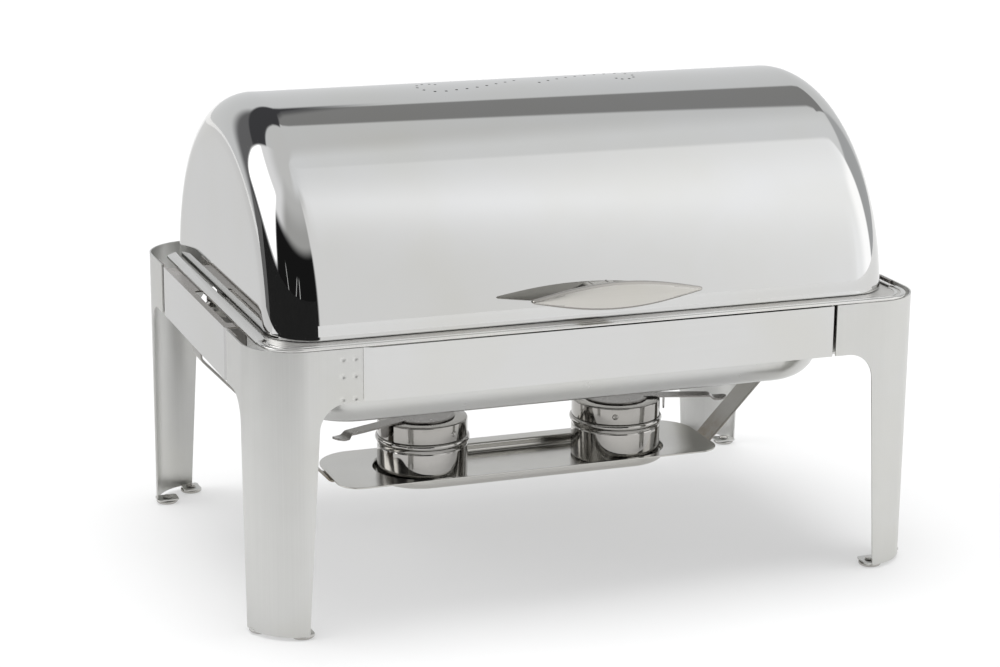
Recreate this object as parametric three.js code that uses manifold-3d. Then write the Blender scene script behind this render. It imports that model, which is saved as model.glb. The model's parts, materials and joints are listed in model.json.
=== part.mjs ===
// Roll-top chafing dish: a leg frame, a water pan with a food pan in it, a half-round lid that
// rolls back and under the pan, and two fuel cups in a hung tray.
// Millimetres, +Z up, +X to the right, the front faces -Y, and z = 0 is the floor.
// Every assembly is modelled about the middle of the leg frame. The exported group is then
// moved along Y, so that its origin is at the middle of the plan box with the handle in it.

import * as THREE from 'three';
import { mergeVertices } from 'three/addons/utils/BufferGeometryUtils.js';
import Module from 'manifold-3d';

const wasm = await Module();
wasm.setup();

// ---------------------------------------------------------------- driving dimensions

const GAP = 0.3; // left between pieces that touch
const FRAME = { halfWidth: 320, halfDepth: 219, top: 259.3, sheet: 1.5, cornerRadius: 48 };
const RAIL = { height: 47.8, seamX: 225, seamY: 125, joggle: 9, tongue: 25 };
const ARCH = { radius: 25, flatX: 238.5, flatY: 145.5, footX: 274, footY: 178 };
const GLIDE = {
  radius: 10.5, height: 3, chamfer: 1.2, inset: 3.5, stud: 3, headOverhang: 2, headHeight: 2,
  tabWidth: 18, tabLength: 22,
};
const LEDGE = { top: 258, inner: 302, notchInner: 313, notchFrom: -100, notchTo: 20, end: 115 };

const PIVOT = { y: -4.5, z: 249.2 }; // the axis that the lid rolls about, along X
const LID = { radius: 193.2, halfLength: 295.8, fillet: 41, bottom: 261.5, sheet: 1 };
const EAR = { radius: 13, halfWidth: 14, top: 300, sheet: 1.6 };
const BOLT = { radius: 3, clearance: 0.3, head: 5.5, headHeight: 3, chamfer: 1, thread: 4.5 };
const NUT = { flat: 4, shoulder: 6.5, shoulderInset: 1.2, height: 8.5, crownInset: 3, crownDrop: 0.3 };
const VENT = { radius: 1.4, stemHoles: 7, curlHoles: 8, drop: -6.5 };
const HANDLE = { z: 292, halfLength: 80, halfHeight: 12, tipRadius: 2, back: 232.5, thickness: 7 };
const BRACKET = { halfWidth: 15, halfHeight: 5, screwX: 8, screwRadius: 2.2, screwBite: 8 };
const HANDLE_BEVEL = 1.5;

const PAN = { halfLength: 262, halfDepth: 152, corner: 60, fillet: 30, bottom: 166, sheet: 1 };
const RIM = { top: 261, front: 219, rear: 176, corner: 32, seamY: -180, slotY: -24 };
const RIM_HALF = { front: 307.6, middle: 302, rear: 290.5 };
const STRIP = { inner: 298.2, innerTop: 264, outer: 307.6, outerTop: 260.8, sheet: 1.2, end: 155 };
const HINGE_PLATE = { inner: 299.5, sheet: 1.5, front: -50, tabInner: 285 };
const FOOD_PAN = { halfLength: 265, halfDepth: 162.5, depth: 65, sheet: 0.8, corner: 38 };
const FOOD_TUB = { halfLength: 250, halfDepth: 147, corner: 45, fillet: 20 };

const TRAY = {
  top: 76, sheet: 1.5, halfLength: 194, front: 50, rear: 62, frontCorner: 22, rearCorner: 38,
};
const TROUGH = { halfWidth: 46.5, halfLength: 149, bottom: 65, sheet: 1.2, fillet: 6 };
const STRAP = { halfWidth: 15, sheet: 2, bendX: 195, tabX: 157, kneeZ: 203, topZ: 236 };
const CUP = { x: 100, radius: 43.5, bead: 45.4, beadHeight: 6, rim: 41.5, foot: 2, sheet: 1.2 };
const CAP = { radius: 43.3, top: 58.5, hole: 26, sheet: 1.2, chamfer: 1.1, spigotDrop: 7 };
const DIMPLE = { radius: 2.6, sunk: 0.6, above: 8, angles: [300, 60, 180] };
const RIVET = { radius: 2, head: 3.6, tail: 3, height: 2, chamfer: 0.7 };
const DAMPER = { radius: 31, pivot: 37, eye: 5, sheet: 1.2, tabX: 46.5, tabHalf: 5, tabDrop: 8 };
const LEVER = { root: 27, tip: 109, halfWidth: 7.5, sheet: 1.8, dipX: 92, lipX: 102, dip: 3.2, tipRise: 1.5 };
const LEVER_HOLE = { x: 71, radius: 1.5 };
const LEVER_ANGLE = { left: 180 + 23, right: -17 }; // degrees from +X, seen from above

const CURVE_STEPS = 6; // steps in a quarter turn of an outline
const SMALL_STEPS = 12; // steps round a screw, rivet, glide or hole
const CUP_STEPS = 36;
const LID_STEPS = 60;
const VENT_STEPS = 6;

const SATIN_STEEL = { color: 0xb4b4b0, roughness: 0.38, metalness: 1 };
const POLISHED_STEEL = { color: 0xc8c9ca, roughness: 0.1, metalness: 1 };
const MIRROR_STEEL = { color: 0xd2d3d4, roughness: 0.05, metalness: 1 };
const BRUSHED_STEEL = { color: 0xaeaca6, roughness: 0.32, metalness: 1 };
const BOLT_STEEL = { color: 0x9a9a98, roughness: 0.25, metalness: 1 };

// ---------------------------------------------------------------- solids

const MERGE_DISTANCE = 1e-4;
const AXIS_X = new THREE.Vector3(1, 0, 0);
const AXIS_Y = new THREE.Vector3(0, 1, 0);
const AXIS_Z = new THREE.Vector3(0, 0, 1);

function solidOf(geometry) {
  geometry.deleteAttribute('normal');
  geometry.deleteAttribute('uv');
  const merged = mergeVertices(geometry, MERGE_DISTANCE);
  const corners = merged.index.array;
  const kept = [];
  for (let i = 0; i < corners.length; i += 3) {
    const [a, b, c] = [corners[i], corners[i + 1], corners[i + 2]];
    if (a !== b && b !== c && c !== a) kept.push([a, b, c]);
  }
  const vertProperties = Float32Array.from(merged.attributes.position.array);
  const build = (triangles) => new wasm.Manifold(
    new wasm.Mesh({ numProp: 3, vertProperties, triVerts: Uint32Array.from(triangles.flat()) }),
  );
  const body = build(kept);
  return body.volume() > 0 ? body : build(kept.map(([a, b, c]) => [a, c, b]));
}

function geometryOf(solid) {
  const mesh = solid.getMesh();
  const geometry = new THREE.BufferGeometry();
  geometry.setAttribute('position', new THREE.BufferAttribute(mesh.vertProperties, 3));
  geometry.setIndex(new THREE.BufferAttribute(mesh.triVerts, 1));
  geometry.computeVertexNormals();
  return geometry;
}

const join = (...solids) => solids.reduce((sum, solid) => sum.add(solid));
const cut = (solid, ...tools) => tools.reduce((rest, tool) => rest.subtract(tool), solid);

function box([x0, x1], [y0, y1], [z0, z1]) {
  const geometry = new THREE.BoxGeometry(x1 - x0, y1 - y0, z1 - z0);
  geometry.translate((x0 + x1) / 2, (y0 + y1) / 2, (z0 + z1) / 2);
  return solidOf(geometry);
}

// A round bar along one axis, from one coordinate to another on it, through centre.
function rod(axis, centre, radius, from, to, steps = SMALL_STEPS) {
  const geometry = new THREE.CylinderGeometry(radius, radius, to - from, steps);
  geometry.applyQuaternion(new THREE.Quaternion().setFromUnitVectors(AXIS_Y, axis));
  const middle = axis.clone().multiplyScalar((from + to) / 2);
  geometry.translate(centre[0] + middle.x, centre[1] + middle.y, centre[2] + middle.z);
  return solidOf(geometry);
}

// The plane that an outline is drawn in, and the axis that its prism runs along.
const PLANES = {
  XY: new THREE.Matrix4(),
  XZ: new THREE.Matrix4().makeBasis(AXIS_X, AXIS_Z, AXIS_Y.clone().negate()),
  YZ: new THREE.Matrix4().makeBasis(AXIS_Y, AXIS_Z, AXIS_X),
};

function prism(plane, outline, from, to, bevel = {}) {
  const options = { depth: to - from, bevelEnabled: false, ...bevel };
  const geometry = new THREE.ExtrudeGeometry(new THREE.Shape(outline), options);
  geometry.translate(0, 0, plane === 'XZ' ? -to : from);
  geometry.applyMatrix4(PLANES[plane]);
  return solidOf(geometry);
}

// Turns a closed profile of [radius, height] points about Z, or about X.
function lathe(profile, steps, axis = AXIS_Z) {
  const points = profile.map(([radius, height]) => new THREE.Vector2(radius, height));
  const geometry = new THREE.LatheGeometry([...points, points[0].clone()], steps);
  geometry.applyQuaternion(new THREE.Quaternion().setFromUnitVectors(AXIS_Y, axis));
  return solidOf(geometry);
}

// ---------------------------------------------------------------- outlines

const at = (x, y) => new THREE.Vector2(x, y);

function arc(x, y, radius, fromDegrees, toDegrees, steps = CURVE_STEPS) {
  const points = [];
  for (let i = 0; i <= steps; i++) {
    const angle = THREE.MathUtils.degToRad(fromDegrees + ((toDegrees - fromDegrees) * i) / steps);
    points.push(at(x + radius * Math.cos(angle), y + radius * Math.sin(angle)));
  }
  return points;
}

function roundedRectangle(halfX, halfY, radius, centreY = 0) {
  const [x, y] = [halfX - radius, halfY - radius];
  return [
    ...arc(x, centreY + y, radius, 0, 90),
    ...arc(-x, centreY + y, radius, 90, 180),
    ...arc(-x, centreY - y, radius, 180, 270),
    ...arc(x, centreY - y, radius, 270, 360),
  ];
}

const mirrored = (points, signX, signY = 1) => points.map((p) => at(p.x * signX, p.y * signY));

// ---------------------------------------------------------------- scene

function addPart(group, name, solid, finish) {
  const mesh = new THREE.Mesh(geometryOf(solid), new THREE.MeshStandardMaterial(finish));
  mesh.name = name;
  group.add(mesh);
}

function addGroup(parent, x = 0, y = 0, z = 0) {
  const group = new THREE.Group();
  group.position.set(x, y, z);
  parent.add(group);
  return group;
}

const SIDES = [['left', -1], ['right', 1]];
const ENDS = [['front', -1], ['rear', 1]];

// ---------------------------------------------------------------- legs and their glides

const LEG_BOTTOM = GLIDE.height + GAP;
const RAIL_BOTTOM = FRAME.top - RAIL.height;

// Side view of one flange: the rail stub, the arch under it and the tapering leg.
function flangeOutline(seam, flat, foot, outside) {
  return [
    at(seam, FRAME.top),
    at(outside, FRAME.top),
    at(outside, 0),
    at(foot, 0),
    ...arc(flat, RAIL_BOTTOM - ARCH.radius, ARCH.radius, 0, 90),
    at(seam, RAIL_BOTTOM),
  ];
}

// Plan of the bent sheet, from the seam on the front round the corner to the seam on the side.
function legPlan() {
  const { halfWidth, halfDepth, cornerRadius, sheet } = FRAME;
  const [x, y] = [halfWidth - cornerRadius, halfDepth - cornerRadius];
  return [
    at(RAIL.seamX, halfDepth),
    ...arc(x, y, cornerRadius, 90, 0),
    at(halfWidth, RAIL.seamY),
    at(halfWidth - sheet, RAIL.seamY),
    ...arc(x, y, cornerRadius - sheet, 0, 90),
    at(RAIL.seamX, halfDepth - sheet),
  ];
}

// The glides' centres, one by the free edge of each flange, in the quarter with x and y above 0.
const GLIDE_CENTRES = {
  face: [ARCH.footX + GLIDE.inset, FRAME.halfDepth - FRAME.sheet - GLIDE.radius],
  side: [FRAME.halfWidth - FRAME.sheet - GLIDE.radius, ARCH.footY + GLIDE.inset],
};

function buildLegs(frame) {
  const reach = FRAME.halfWidth + 10; // past the outside of the frame
  const tabTop = LEG_BOTTOM + FRAME.sheet;
  const footprint = roundedRectangle(FRAME.halfWidth, FRAME.halfDepth, FRAME.cornerRadius);
  for (const [end, signY] of ENDS) {
    for (const [side, signX] of SIDES) {
      const face = mirrored(flangeOutline(RAIL.seamX, ARCH.flatX, ARCH.footX, reach), signX);
      const flank = mirrored(flangeOutline(RAIL.seamY, ARCH.flatY, ARCH.footY, reach), signY);
      let leg = prism('XY', mirrored(legPlan(), signX, signY), LEG_BOTTOM, FRAME.top);
      leg = leg.intersect(prism('XZ', face, -reach, reach));
      leg = leg.intersect(prism('YZ', flank, -reach, reach));

      const [faceX, faceY] = GLIDE_CENTRES.face;
      const [sideX, sideY] = GLIDE_CENTRES.side;
      const faceTab = [
        at(ARCH.footX, FRAME.halfDepth - GLIDE.tabLength),
        at(ARCH.footX + GLIDE.tabWidth, FRAME.halfDepth - GLIDE.tabLength),
        at(ARCH.footX + GLIDE.tabWidth, FRAME.halfDepth),
        at(ARCH.footX, FRAME.halfDepth),
      ];
      const sideTab = [
        at(FRAME.halfWidth - GLIDE.tabLength, ARCH.footY),
        at(FRAME.halfWidth, ARCH.footY),
        at(FRAME.halfWidth, ARCH.footY + GLIDE.tabWidth),
        at(FRAME.halfWidth - GLIDE.tabLength, ARCH.footY + GLIDE.tabWidth),
      ];
      for (const tab of [faceTab, sideTab]) {
        const plate = prism('XY', mirrored(tab, signX, signY), LEG_BOTTOM, tabTop);
        leg = leg.add(plate.intersect(prism('XY', footprint, 0, FRAME.top)));
      }
      for (const [x, y] of [[faceX, faceY], [sideX, sideY]]) {
        const hole = rod(AXIS_Z, [x * signX, y * signY, 0], GLIDE.stud + GAP, 0, GLIDE.height * 3);
        leg = leg.subtract(hole);
        const name = `glide_${end}_${side}_${x === faceX ? 'a' : 'b'}`;
        const glide = addGroup(frame, x * signX, y * signY);
        addPart(glide, name, buildGlide(tabTop), BOLT_STEEL);
      }
      addPart(frame, `leg_${end}_${side}`, leg, SATIN_STEEL);
    }
  }
}

// A round foot with a riveted stud through the leg's tab.
function buildGlide(tabTop) {
  const { radius, height, chamfer, stud, headOverhang, headHeight } = GLIDE;
  const headBottom = tabTop + GAP;
  return lathe([
    [0, 0], [radius - chamfer, 0], [radius, chamfer], [radius, height], [stud, height],
    [stud, headBottom], [stud + headOverhang, headBottom],
    [stud + headOverhang / 2, headBottom + headHeight * 0.75], [0, headBottom + headHeight],
  ], SMALL_STEPS);
}

// ---------------------------------------------------------------- rails

// Plan of a rail whose ends step back behind the leg flanges. u runs along it, v points outwards.
function railPlan(face, seam) {
  const behind = face - FRAME.sheet - GAP;
  const half = [[seam - RAIL.joggle, face], [seam - GAP, behind], [seam + RAIL.tongue, behind]];
  const outer = [...half.toReversed().map(([u, v]) => at(-u, v)), ...half.map(([u, v]) => at(u, v))];
  const inner = outer.toReversed().map((p) => at(p.x, p.y - FRAME.sheet));
  return [...outer, ...inner];
}

function buildRails(frame) {
  for (const [end, signY] of ENDS) {
    const plan = mirrored(railPlan(FRAME.halfDepth, RAIL.seamX), 1, signY);
    addPart(frame, `rail_${end}`, prism('XY', plan, RAIL_BOTTOM, FRAME.top), POLISHED_STEEL);
  }
  for (const [side, signX] of SIDES) {
    const along = railPlan(FRAME.halfWidth, RAIL.seamY).map((p) => at(p.y * signX, p.x));
    const ledge = mirrored(ledgePlan(), signX);
    addPart(frame, `rail_${side}`, join(
      prism('XY', along, RAIL_BOTTOM, FRAME.top),
      prism('XY', ledge, LEDGE.top - FRAME.sheet, LEDGE.top),
    ), POLISHED_STEEL);
  }
}

// The shelf that the pan's side strips rest on, notched where the lid's pivot bolt goes down.
function ledgePlan() {
  const root = FRAME.halfWidth - FRAME.sheet / 2;
  return [
    at(LEDGE.inner, -LEDGE.end),
    at(root, -LEDGE.end),
    at(root, LEDGE.end),
    at(LEDGE.inner, LEDGE.end),
    at(LEDGE.inner, LEDGE.notchTo),
    at(LEDGE.notchInner, LEDGE.notchTo),
    at(LEDGE.notchInner, LEDGE.notchFrom),
    at(LEDGE.inner, LEDGE.notchFrom),
  ];
}

// ---------------------------------------------------------------- fuel tray

// The plate reaches further behind the trough than in front of it.
function trayOutline() {
  const { halfLength, front, rear, frontCorner, rearCorner } = TRAY;
  const half = [
    ...arc(halfLength - frontCorner, frontCorner - front, frontCorner, 270, 360),
    ...arc(halfLength - rearCorner, rear - rearCorner, rearCorner, 0, 90),
  ];
  return [...half, ...mirrored(half, -1).toReversed()];
}

// A pressed tub: straight walls, rounded plan corners and a fillet round its floor.
function tub(halfX, halfY, corner, fillet, centreY, bottom, top) {
  const core = roundedRectangle(halfX - fillet, halfY - fillet, corner - fillet, centreY);
  const bevel = {
    bevelEnabled: true, bevelSize: fillet, bevelThickness: fillet, bevelSegments: 4,
  };
  const body = prism('XY', core, bottom + fillet, top + fillet, bevel);
  const reach = halfX + fillet;
  return body.intersect(box([-reach, reach], [-reach, reach], [bottom, top]));
}

function buildTray(frame) {
  const tray = addGroup(frame, 0, PIVOT.y);
  const { halfWidth, halfLength, bottom, sheet, fillet } = TROUGH;
  const trough = (inset, top) => tub(
    halfLength - inset, halfWidth - inset, halfWidth - inset, fillet - inset, 0, bottom + inset, top,
  );
  const plate = prism('XY', trayOutline(), TRAY.top - TRAY.sheet, TRAY.top);
  const above = TRAY.top + FRAME.sheet;
  addPart(tray, 'fuel_tray', cut(join(plate, trough(0, TRAY.top)), trough(sheet, above)), BRUSHED_STEEL);

  const wall = FRAME.halfWidth - FRAME.sheet - GAP;
  const under = TRAY.top - TRAY.sheet - GAP;
  const { halfWidth: half, sheet: thick, bendX, tabX, kneeZ, topZ } = STRAP;
  for (const [side, signX] of SIDES) {
    const outline = mirrored([
      at(tabX, under), at(bendX, under), at(wall - thick, kneeZ), at(wall - thick, topZ),
      at(wall, topZ), at(wall, kneeZ - thick / 2), at(bendX + thick / 2, under - thick),
      at(tabX, under - thick),
    ], signX);
    addPart(tray, `tray_strap_${side}`, prism('XZ', outline, -half, half), BRUSHED_STEEL);
  }
}

// ---------------------------------------------------------------- water pan and food pan

// The rim is widest in front, narrower beside the side strips, and narrower again behind
// the pivot, where the lid's end walls pass it as the lid rolls.
function rimOutline() {
  const rearCorner = 35;
  const { front, rear, corner, seamY, slotY } = RIM;
  const half = [
    ...arc(RIM_HALF.front - corner, corner - front, corner, 270, 360),
    at(RIM_HALF.front, seamY),
    at(RIM_HALF.middle, seamY),
    at(RIM_HALF.middle, slotY),
    at(RIM_HALF.rear, slotY),
    ...arc(RIM_HALF.rear - rearCorner, rear - rearCorner, rearCorner, 0, 90),
  ];
  return [...half, ...mirrored(half, -1).toReversed()];
}

function buildWaterPan(pan) {
  const { halfLength, halfDepth, corner, fillet, bottom, sheet } = PAN;
  const shell = (inset, top) => tub(
    halfLength - inset, halfDepth - inset, corner - inset, fillet - inset,
    PIVOT.y, bottom + inset, top,
  );
  const bead = { width: 5, height: 1.3 };
  const innerEdge = rimOutline().map((p) => at(
    p.x * (1 - bead.width / RIM_HALF.front), p.y * (1 - bead.width / RIM.front),
  ));
  const beadRing = cut(
    prism('XY', rimOutline(), RIM.top - sheet / 2, RIM.top + bead.height),
    prism('XY', innerEdge, 0, FRAME.top * 2),
    box([-FRAME.halfWidth, FRAME.halfWidth], [RIM.seamY, FRAME.halfDepth], [0, FRAME.top * 2]),
  );
  const rim = prism('XY', rimOutline(), RIM.top - sheet, RIM.top);
  addPart(pan, 'water_pan', cut(
    join(rim, beadRing, shell(0, RIM.top)),
    shell(sheet, RIM.top + fillet),
  ), POLISHED_STEEL);

  for (const [side, signX] of SIDES) {
    addPart(pan, `rim_strip_${side}`, buildStrip(signX), POLISHED_STEEL);
    addPart(pan, `hinge_plate_${side}`, buildHingePlate(signX), SATIN_STEEL);
    buildPivot(pan, side, signX);
  }
}

// A bent strip beside the lid's end wall: inner lip, sloping top, and an outer hem on the ledge.
function buildStrip(signX) {
  const { inner, innerTop, outer, outerTop, sheet, end } = STRIP;
  const [lipBottom, hemBottom] = [RIM.top + GAP, LEDGE.top + GAP];
  const outline = mirrored([
    at(inner, lipBottom), at(inner, innerTop), at(outer, outerTop), at(outer, hemBottom),
    at(outer - sheet, hemBottom), at(outer - sheet, outerTop - sheet),
    at(inner + sheet, innerTop - sheet), at(inner + sheet, lipBottom),
  ], signX);
  return prism('XZ', outline, RIM.seamY + GAP, end);
}

// Hangs the pivot bolt under the rim: an upright plate, and a tab against the rim's underside.
function buildHingePlate(signX) {
  const { inner, sheet, front, tabInner } = HINGE_PLATE;
  const top = RIM.top - PAN.sheet - GAP;
  const upright = [
    at(front, top), at(front, PIVOT.z), ...arc(PIVOT.y, PIVOT.z, EAR.radius, 210, 360),
    at(PIVOT.y + EAR.radius, top),
  ];
  const span = (from, to) => (signX > 0 ? [from, to] : [-to, -from]);
  const outer = inner + sheet;
  return cut(
    join(
      prism('YZ', upright, ...span(inner, outer)),
      box(span(tabInner, outer), [front, RIM.slotY - 1], [top - sheet, top]),
    ),
    rod(AXIS_X, [0, PIVOT.y, PIVOT.z], BOLT.radius + GAP, ...span(inner - 1, outer + 1)),
  );
}

// Bolt, spacer and cap nut on the lid's axis: the ear turns on the bolt.
function buildPivot(pan, side, signX) {
  const pivot = addGroup(pan, 0, PIVOT.y, PIVOT.z);
  pivot.rotation.y = signX > 0 ? Math.PI / 2 : -Math.PI / 2; // local +Z points outboard
  const { radius, head, headHeight, chamfer, thread } = BOLT;
  const bore = radius + BOLT.clearance;
  const earInner = LID.halfLength - LID.sheet - GAP - EAR.sheet;
  const headTop = earInner - GAP;
  const spacerFrom = LID.halfLength - LID.sheet;
  const spacerTo = HINGE_PLATE.inner - GAP;
  const nutFrom = HINGE_PLATE.inner + HINGE_PLATE.sheet + GAP;
  const [threadEnd, nutEnd] = [nutFrom + thread, nutFrom + NUT.height];
  const spacer = head - chamfer / 2;
  addPart(pivot, `pivot_bolt_${side}`, lathe([
    [0, headTop - headHeight], [head - chamfer, headTop - headHeight],
    [head, headTop - headHeight + chamfer], [head, headTop],
    [radius, headTop], [radius, threadEnd], [0, threadEnd],
  ], SMALL_STEPS), BOLT_STEEL);
  addPart(pivot, `pivot_spacer_${side}`, lathe([
    [bore, spacerFrom], [spacer, spacerFrom], [spacer, spacerTo], [bore, spacerTo],
  ], SMALL_STEPS), BOLT_STEEL);
  addPart(pivot, `pivot_nut_${side}`, lathe([
    [bore, nutFrom], [head, nutFrom], [head, nutFrom + NUT.flat],
    [head - NUT.shoulderInset, nutFrom + NUT.shoulder],
    [head - NUT.crownInset, nutEnd - NUT.crownDrop], [0, nutEnd],
    [0, threadEnd + 1], [bore, threadEnd + 1],
  ], SMALL_STEPS), BOLT_STEEL);
}

function buildFoodPan(pan) {
  const { halfLength, halfDepth, depth, sheet, corner } = FOOD_PAN;
  const [rimBottom, rimTop] = [RIM.top + GAP, RIM.top + GAP + sheet];
  const shell = (inset, top) => tub(
    FOOD_TUB.halfLength - inset, FOOD_TUB.halfDepth - inset, FOOD_TUB.corner - inset,
    FOOD_TUB.fillet - inset, PIVOT.y, rimTop - depth + inset, top,
  );
  const rim = prism('XY', roundedRectangle(halfLength, halfDepth, corner, PIVOT.y), rimBottom, rimTop);
  const pressed = cut(join(rim, shell(0, rimTop)), shell(sheet, rimTop + FOOD_TUB.fillet));
  addPart(pan, 'food_pan', pressed, SATIN_STEEL);
}

// ---------------------------------------------------------------- lid, about its own pivot axis

const LID_CUT = LID.bottom - PIVOT.z; // the lid's lower edge, above the pivot axis

function lidBody(inset) {
  const [radius, length, fillet] = [LID.radius - inset, LID.halfLength - inset, LID.fillet - inset];
  const right = arc(radius - fillet, length - fillet, fillet, 0, 90).map((p) => [p.x, p.y]);
  const left = right.toReversed().map(([r, x]) => [r, -x]);
  return lathe([[0, -length], ...left, ...right, [0, length]], LID_STEPS, AXIS_X);
}

// Two scrolls of vent holes, each the other turned half round: a wave that ends in a curl.
function ventCentres() {
  const [stemStart, stemEnd, rise, fall] = [10, 86, 7, -18];
  const curl = { x: -91, y: -0.1, start: 20, end: 7.5, from: 285, sweep: 220 };
  const half = [];
  for (let i = 0; i < VENT.stemHoles; i++) {
    const t = i / VENT.stemHoles;
    const y = rise + (fall - rise) * Math.sin(t * Math.PI / 2);
    half.push([-(stemStart + (stemEnd - stemStart) * t), y]);
  }
  for (let i = 0; i < VENT.curlHoles; i++) {
    const t = i / (VENT.curlHoles - 1);
    const angle = THREE.MathUtils.degToRad(curl.from - curl.sweep * t);
    const radius = curl.start + (curl.end - curl.start) * t * t;
    half.push([curl.x + radius * Math.cos(angle), curl.y + radius * Math.sin(angle)]);
  }
  return [...half, ...half.map(([x, y]) => [-x, -y])];
}

function buildLid(lid) {
  const [radius, length] = [LID.radius, LID.halfLength];
  let shell = lidBody(0).subtract(lidBody(LID.sheet));
  shell = shell.intersect(box([-length - 1, length + 1], [-radius - 1, radius + 1], [LID_CUT, radius + 1]));
  const vents = ventCentres().map(([x, y]) => rod(
    AXIS_Z, [x, y + VENT.drop, 0], VENT.radius, radius - 20, radius + 1, VENT_STEPS,
  ));
  const handleHeight = HANDLE.z - PIVOT.z;
  const screwHoles = SIDES.map(([, signX]) => rod(
    AXIS_Y, [signX * BRACKET.screwX, 0, handleHeight], BRACKET.screwRadius + GAP, -radius, -radius / 2,
  ));
  addPart(lid, 'lid_shell', cut(shell, ...vents, ...screwHoles), MIRROR_STEEL);

  for (const [side, signX] of SIDES) {
    const outer = LID.halfLength - LID.sheet - GAP;
    const ear = prism('YZ', [
      ...arc(0, 0, EAR.radius, 180, 360),
      at(EAR.halfWidth, EAR.top - PIVOT.z), at(-EAR.halfWidth, EAR.top - PIVOT.z),
    ], outer - EAR.sheet, outer);
    const drilled = cut(ear, rod(AXIS_X, [0, 0, 0], BOLT.radius + BOLT.clearance, outer - 5, outer + 5));
    const mounted = addGroup(lid);
    mounted.rotation.z = signX > 0 ? 0 : Math.PI;
    addPart(mounted, `lid_ear_${side}`, drilled, SATIN_STEEL);
  }
  buildHandle(addGroup(lid, 0, 0, handleHeight), handleHeight);
}

// A leaf-shaped grip on a short bracket, screwed on from inside the lid.
function buildHandle(handle, height) {
  const { halfLength, halfHeight, tipRadius, back, thickness } = HANDLE;
  const bevel = HANDLE_BEVEL;
  const leaf = [];
  const steps = CURVE_STEPS * 2;
  for (let i = 0; i <= steps; i++) {
    const u = 1 - (2 * i) / steps;
    const rise = tipRadius + (halfHeight - tipRadius) * (1 - u * u) - bevel;
    leaf.push(at(u * (halfLength - bevel), rise));
  }
  const outline = [...leaf, ...mirrored(leaf, 1, -1).toReversed()];
  addPart(handle, 'handle_plate', prism('XZ', outline, -back - thickness + bevel, -back - bevel, {
    bevelEnabled: true, bevelSize: bevel, bevelThickness: bevel, bevelSegments: 2,
  }), SATIN_STEEL);

  const { halfWidth, halfHeight: half, screwX, screwRadius } = BRACKET;
  const headOverhang = 2;
  const section = roundedRectangle(halfWidth, half, half - 1);
  const clearance = LID.radius + GAP;
  const lidClear = rod(AXIS_X, [0, 0, -height], clearance, -halfWidth * 2, halfWidth * 2, LID_STEPS * 2);
  const screwEnd = LID.radius + BRACKET.screwBite;
  const block = cut(
    prism('XZ', section, -back + GAP, -LID.radius / 2),
    lidClear,
    ...SIDES.map(([, sign]) => rod(AXIS_Y, [sign * screwX, 0, 0], screwRadius + GAP, -screwEnd - 1, 0)),
  );
  addPart(handle, 'handle_bracket', block, SATIN_STEEL);

  const inside = Math.sqrt((LID.radius - LID.sheet) ** 2 - (height + 2 * screwRadius) ** 2) - GAP;
  for (const [side, sign] of SIDES) {
    const screw = addGroup(handle, sign * screwX);
    screw.rotation.x = Math.PI / 2; // local +Z points to the front
    addPart(screw, `handle_screw_${side}`, lathe([
      [0, inside - 3], [screwRadius + headOverhang * 0.7, inside - 3],
      [screwRadius + headOverhang, inside - 2.2], [screwRadius + headOverhang, inside],
      [screwRadius, inside], [screwRadius, screwEnd], [0, screwEnd],
    ], SMALL_STEPS), BOLT_STEEL);
  }
}

// ---------------------------------------------------------------- fuel cups, caps and dampers

function buildCup(cup, side) {
  const { radius, bead, beadHeight, rim, foot, sheet } = CUP;
  const inner = radius - sheet;
  const beadMiddle = rim - beadHeight * 0.42;
  addPart(cup, `cup_body_${side}`, lathe([
    [0, 0], [radius - foot, 0], [radius, foot], [radius, rim - beadHeight],
    [bead - 0.4, beadMiddle - 1.8], [bead, beadMiddle], [bead - 0.4, beadMiddle + 1.7],
    [radius - 0.3, rim], [inner, rim], [inner, sheet * 2], [inner - sheet, sheet], [0, sheet],
  ], CUP_STEPS), MIRROR_STEEL);

  const { top, hole, chamfer, spigotDrop } = CAP;
  const spigot = inner - GAP;
  const wall = spigot - 1;
  const cap = lathe([
    [hole, top - CAP.sheet], [wall - 1, top - CAP.sheet], [wall, top - CAP.sheet * 2.5],
    [wall, rim - spigotDrop], [spigot, rim - spigotDrop], [spigot, rim + GAP],
    [CAP.radius, rim + GAP], [CAP.radius, top - chamfer], [CAP.radius - chamfer, top], [hole, top],
  ], CUP_STEPS);
  const dimpleReach = CAP.radius - DIMPLE.sunk;
  const dimples = DIMPLE.angles.map((degrees) => {
    const angle = THREE.MathUtils.degToRad(degrees);
    const dimple = new THREE.SphereGeometry(DIMPLE.radius, 8, 6);
    dimple.translate(dimpleReach * Math.cos(angle), dimpleReach * Math.sin(angle), rim + DIMPLE.above);
    return solidOf(dimple);
  });
  const rivetHole = rod(AXIS_Z, [-DAMPER.pivot, 0, 0], RIVET.radius + GAP, top - 5, top + 5);
  const turned = addGroup(cup);
  turned.rotation.z = THREE.MathUtils.degToRad(LEVER_ANGLE[side]);
  addPart(turned, `cup_cap_${side}`, cut(join(cap, ...dimples), rivetHole), MIRROR_STEEL);
  buildDamper(turned, side);
}

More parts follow.
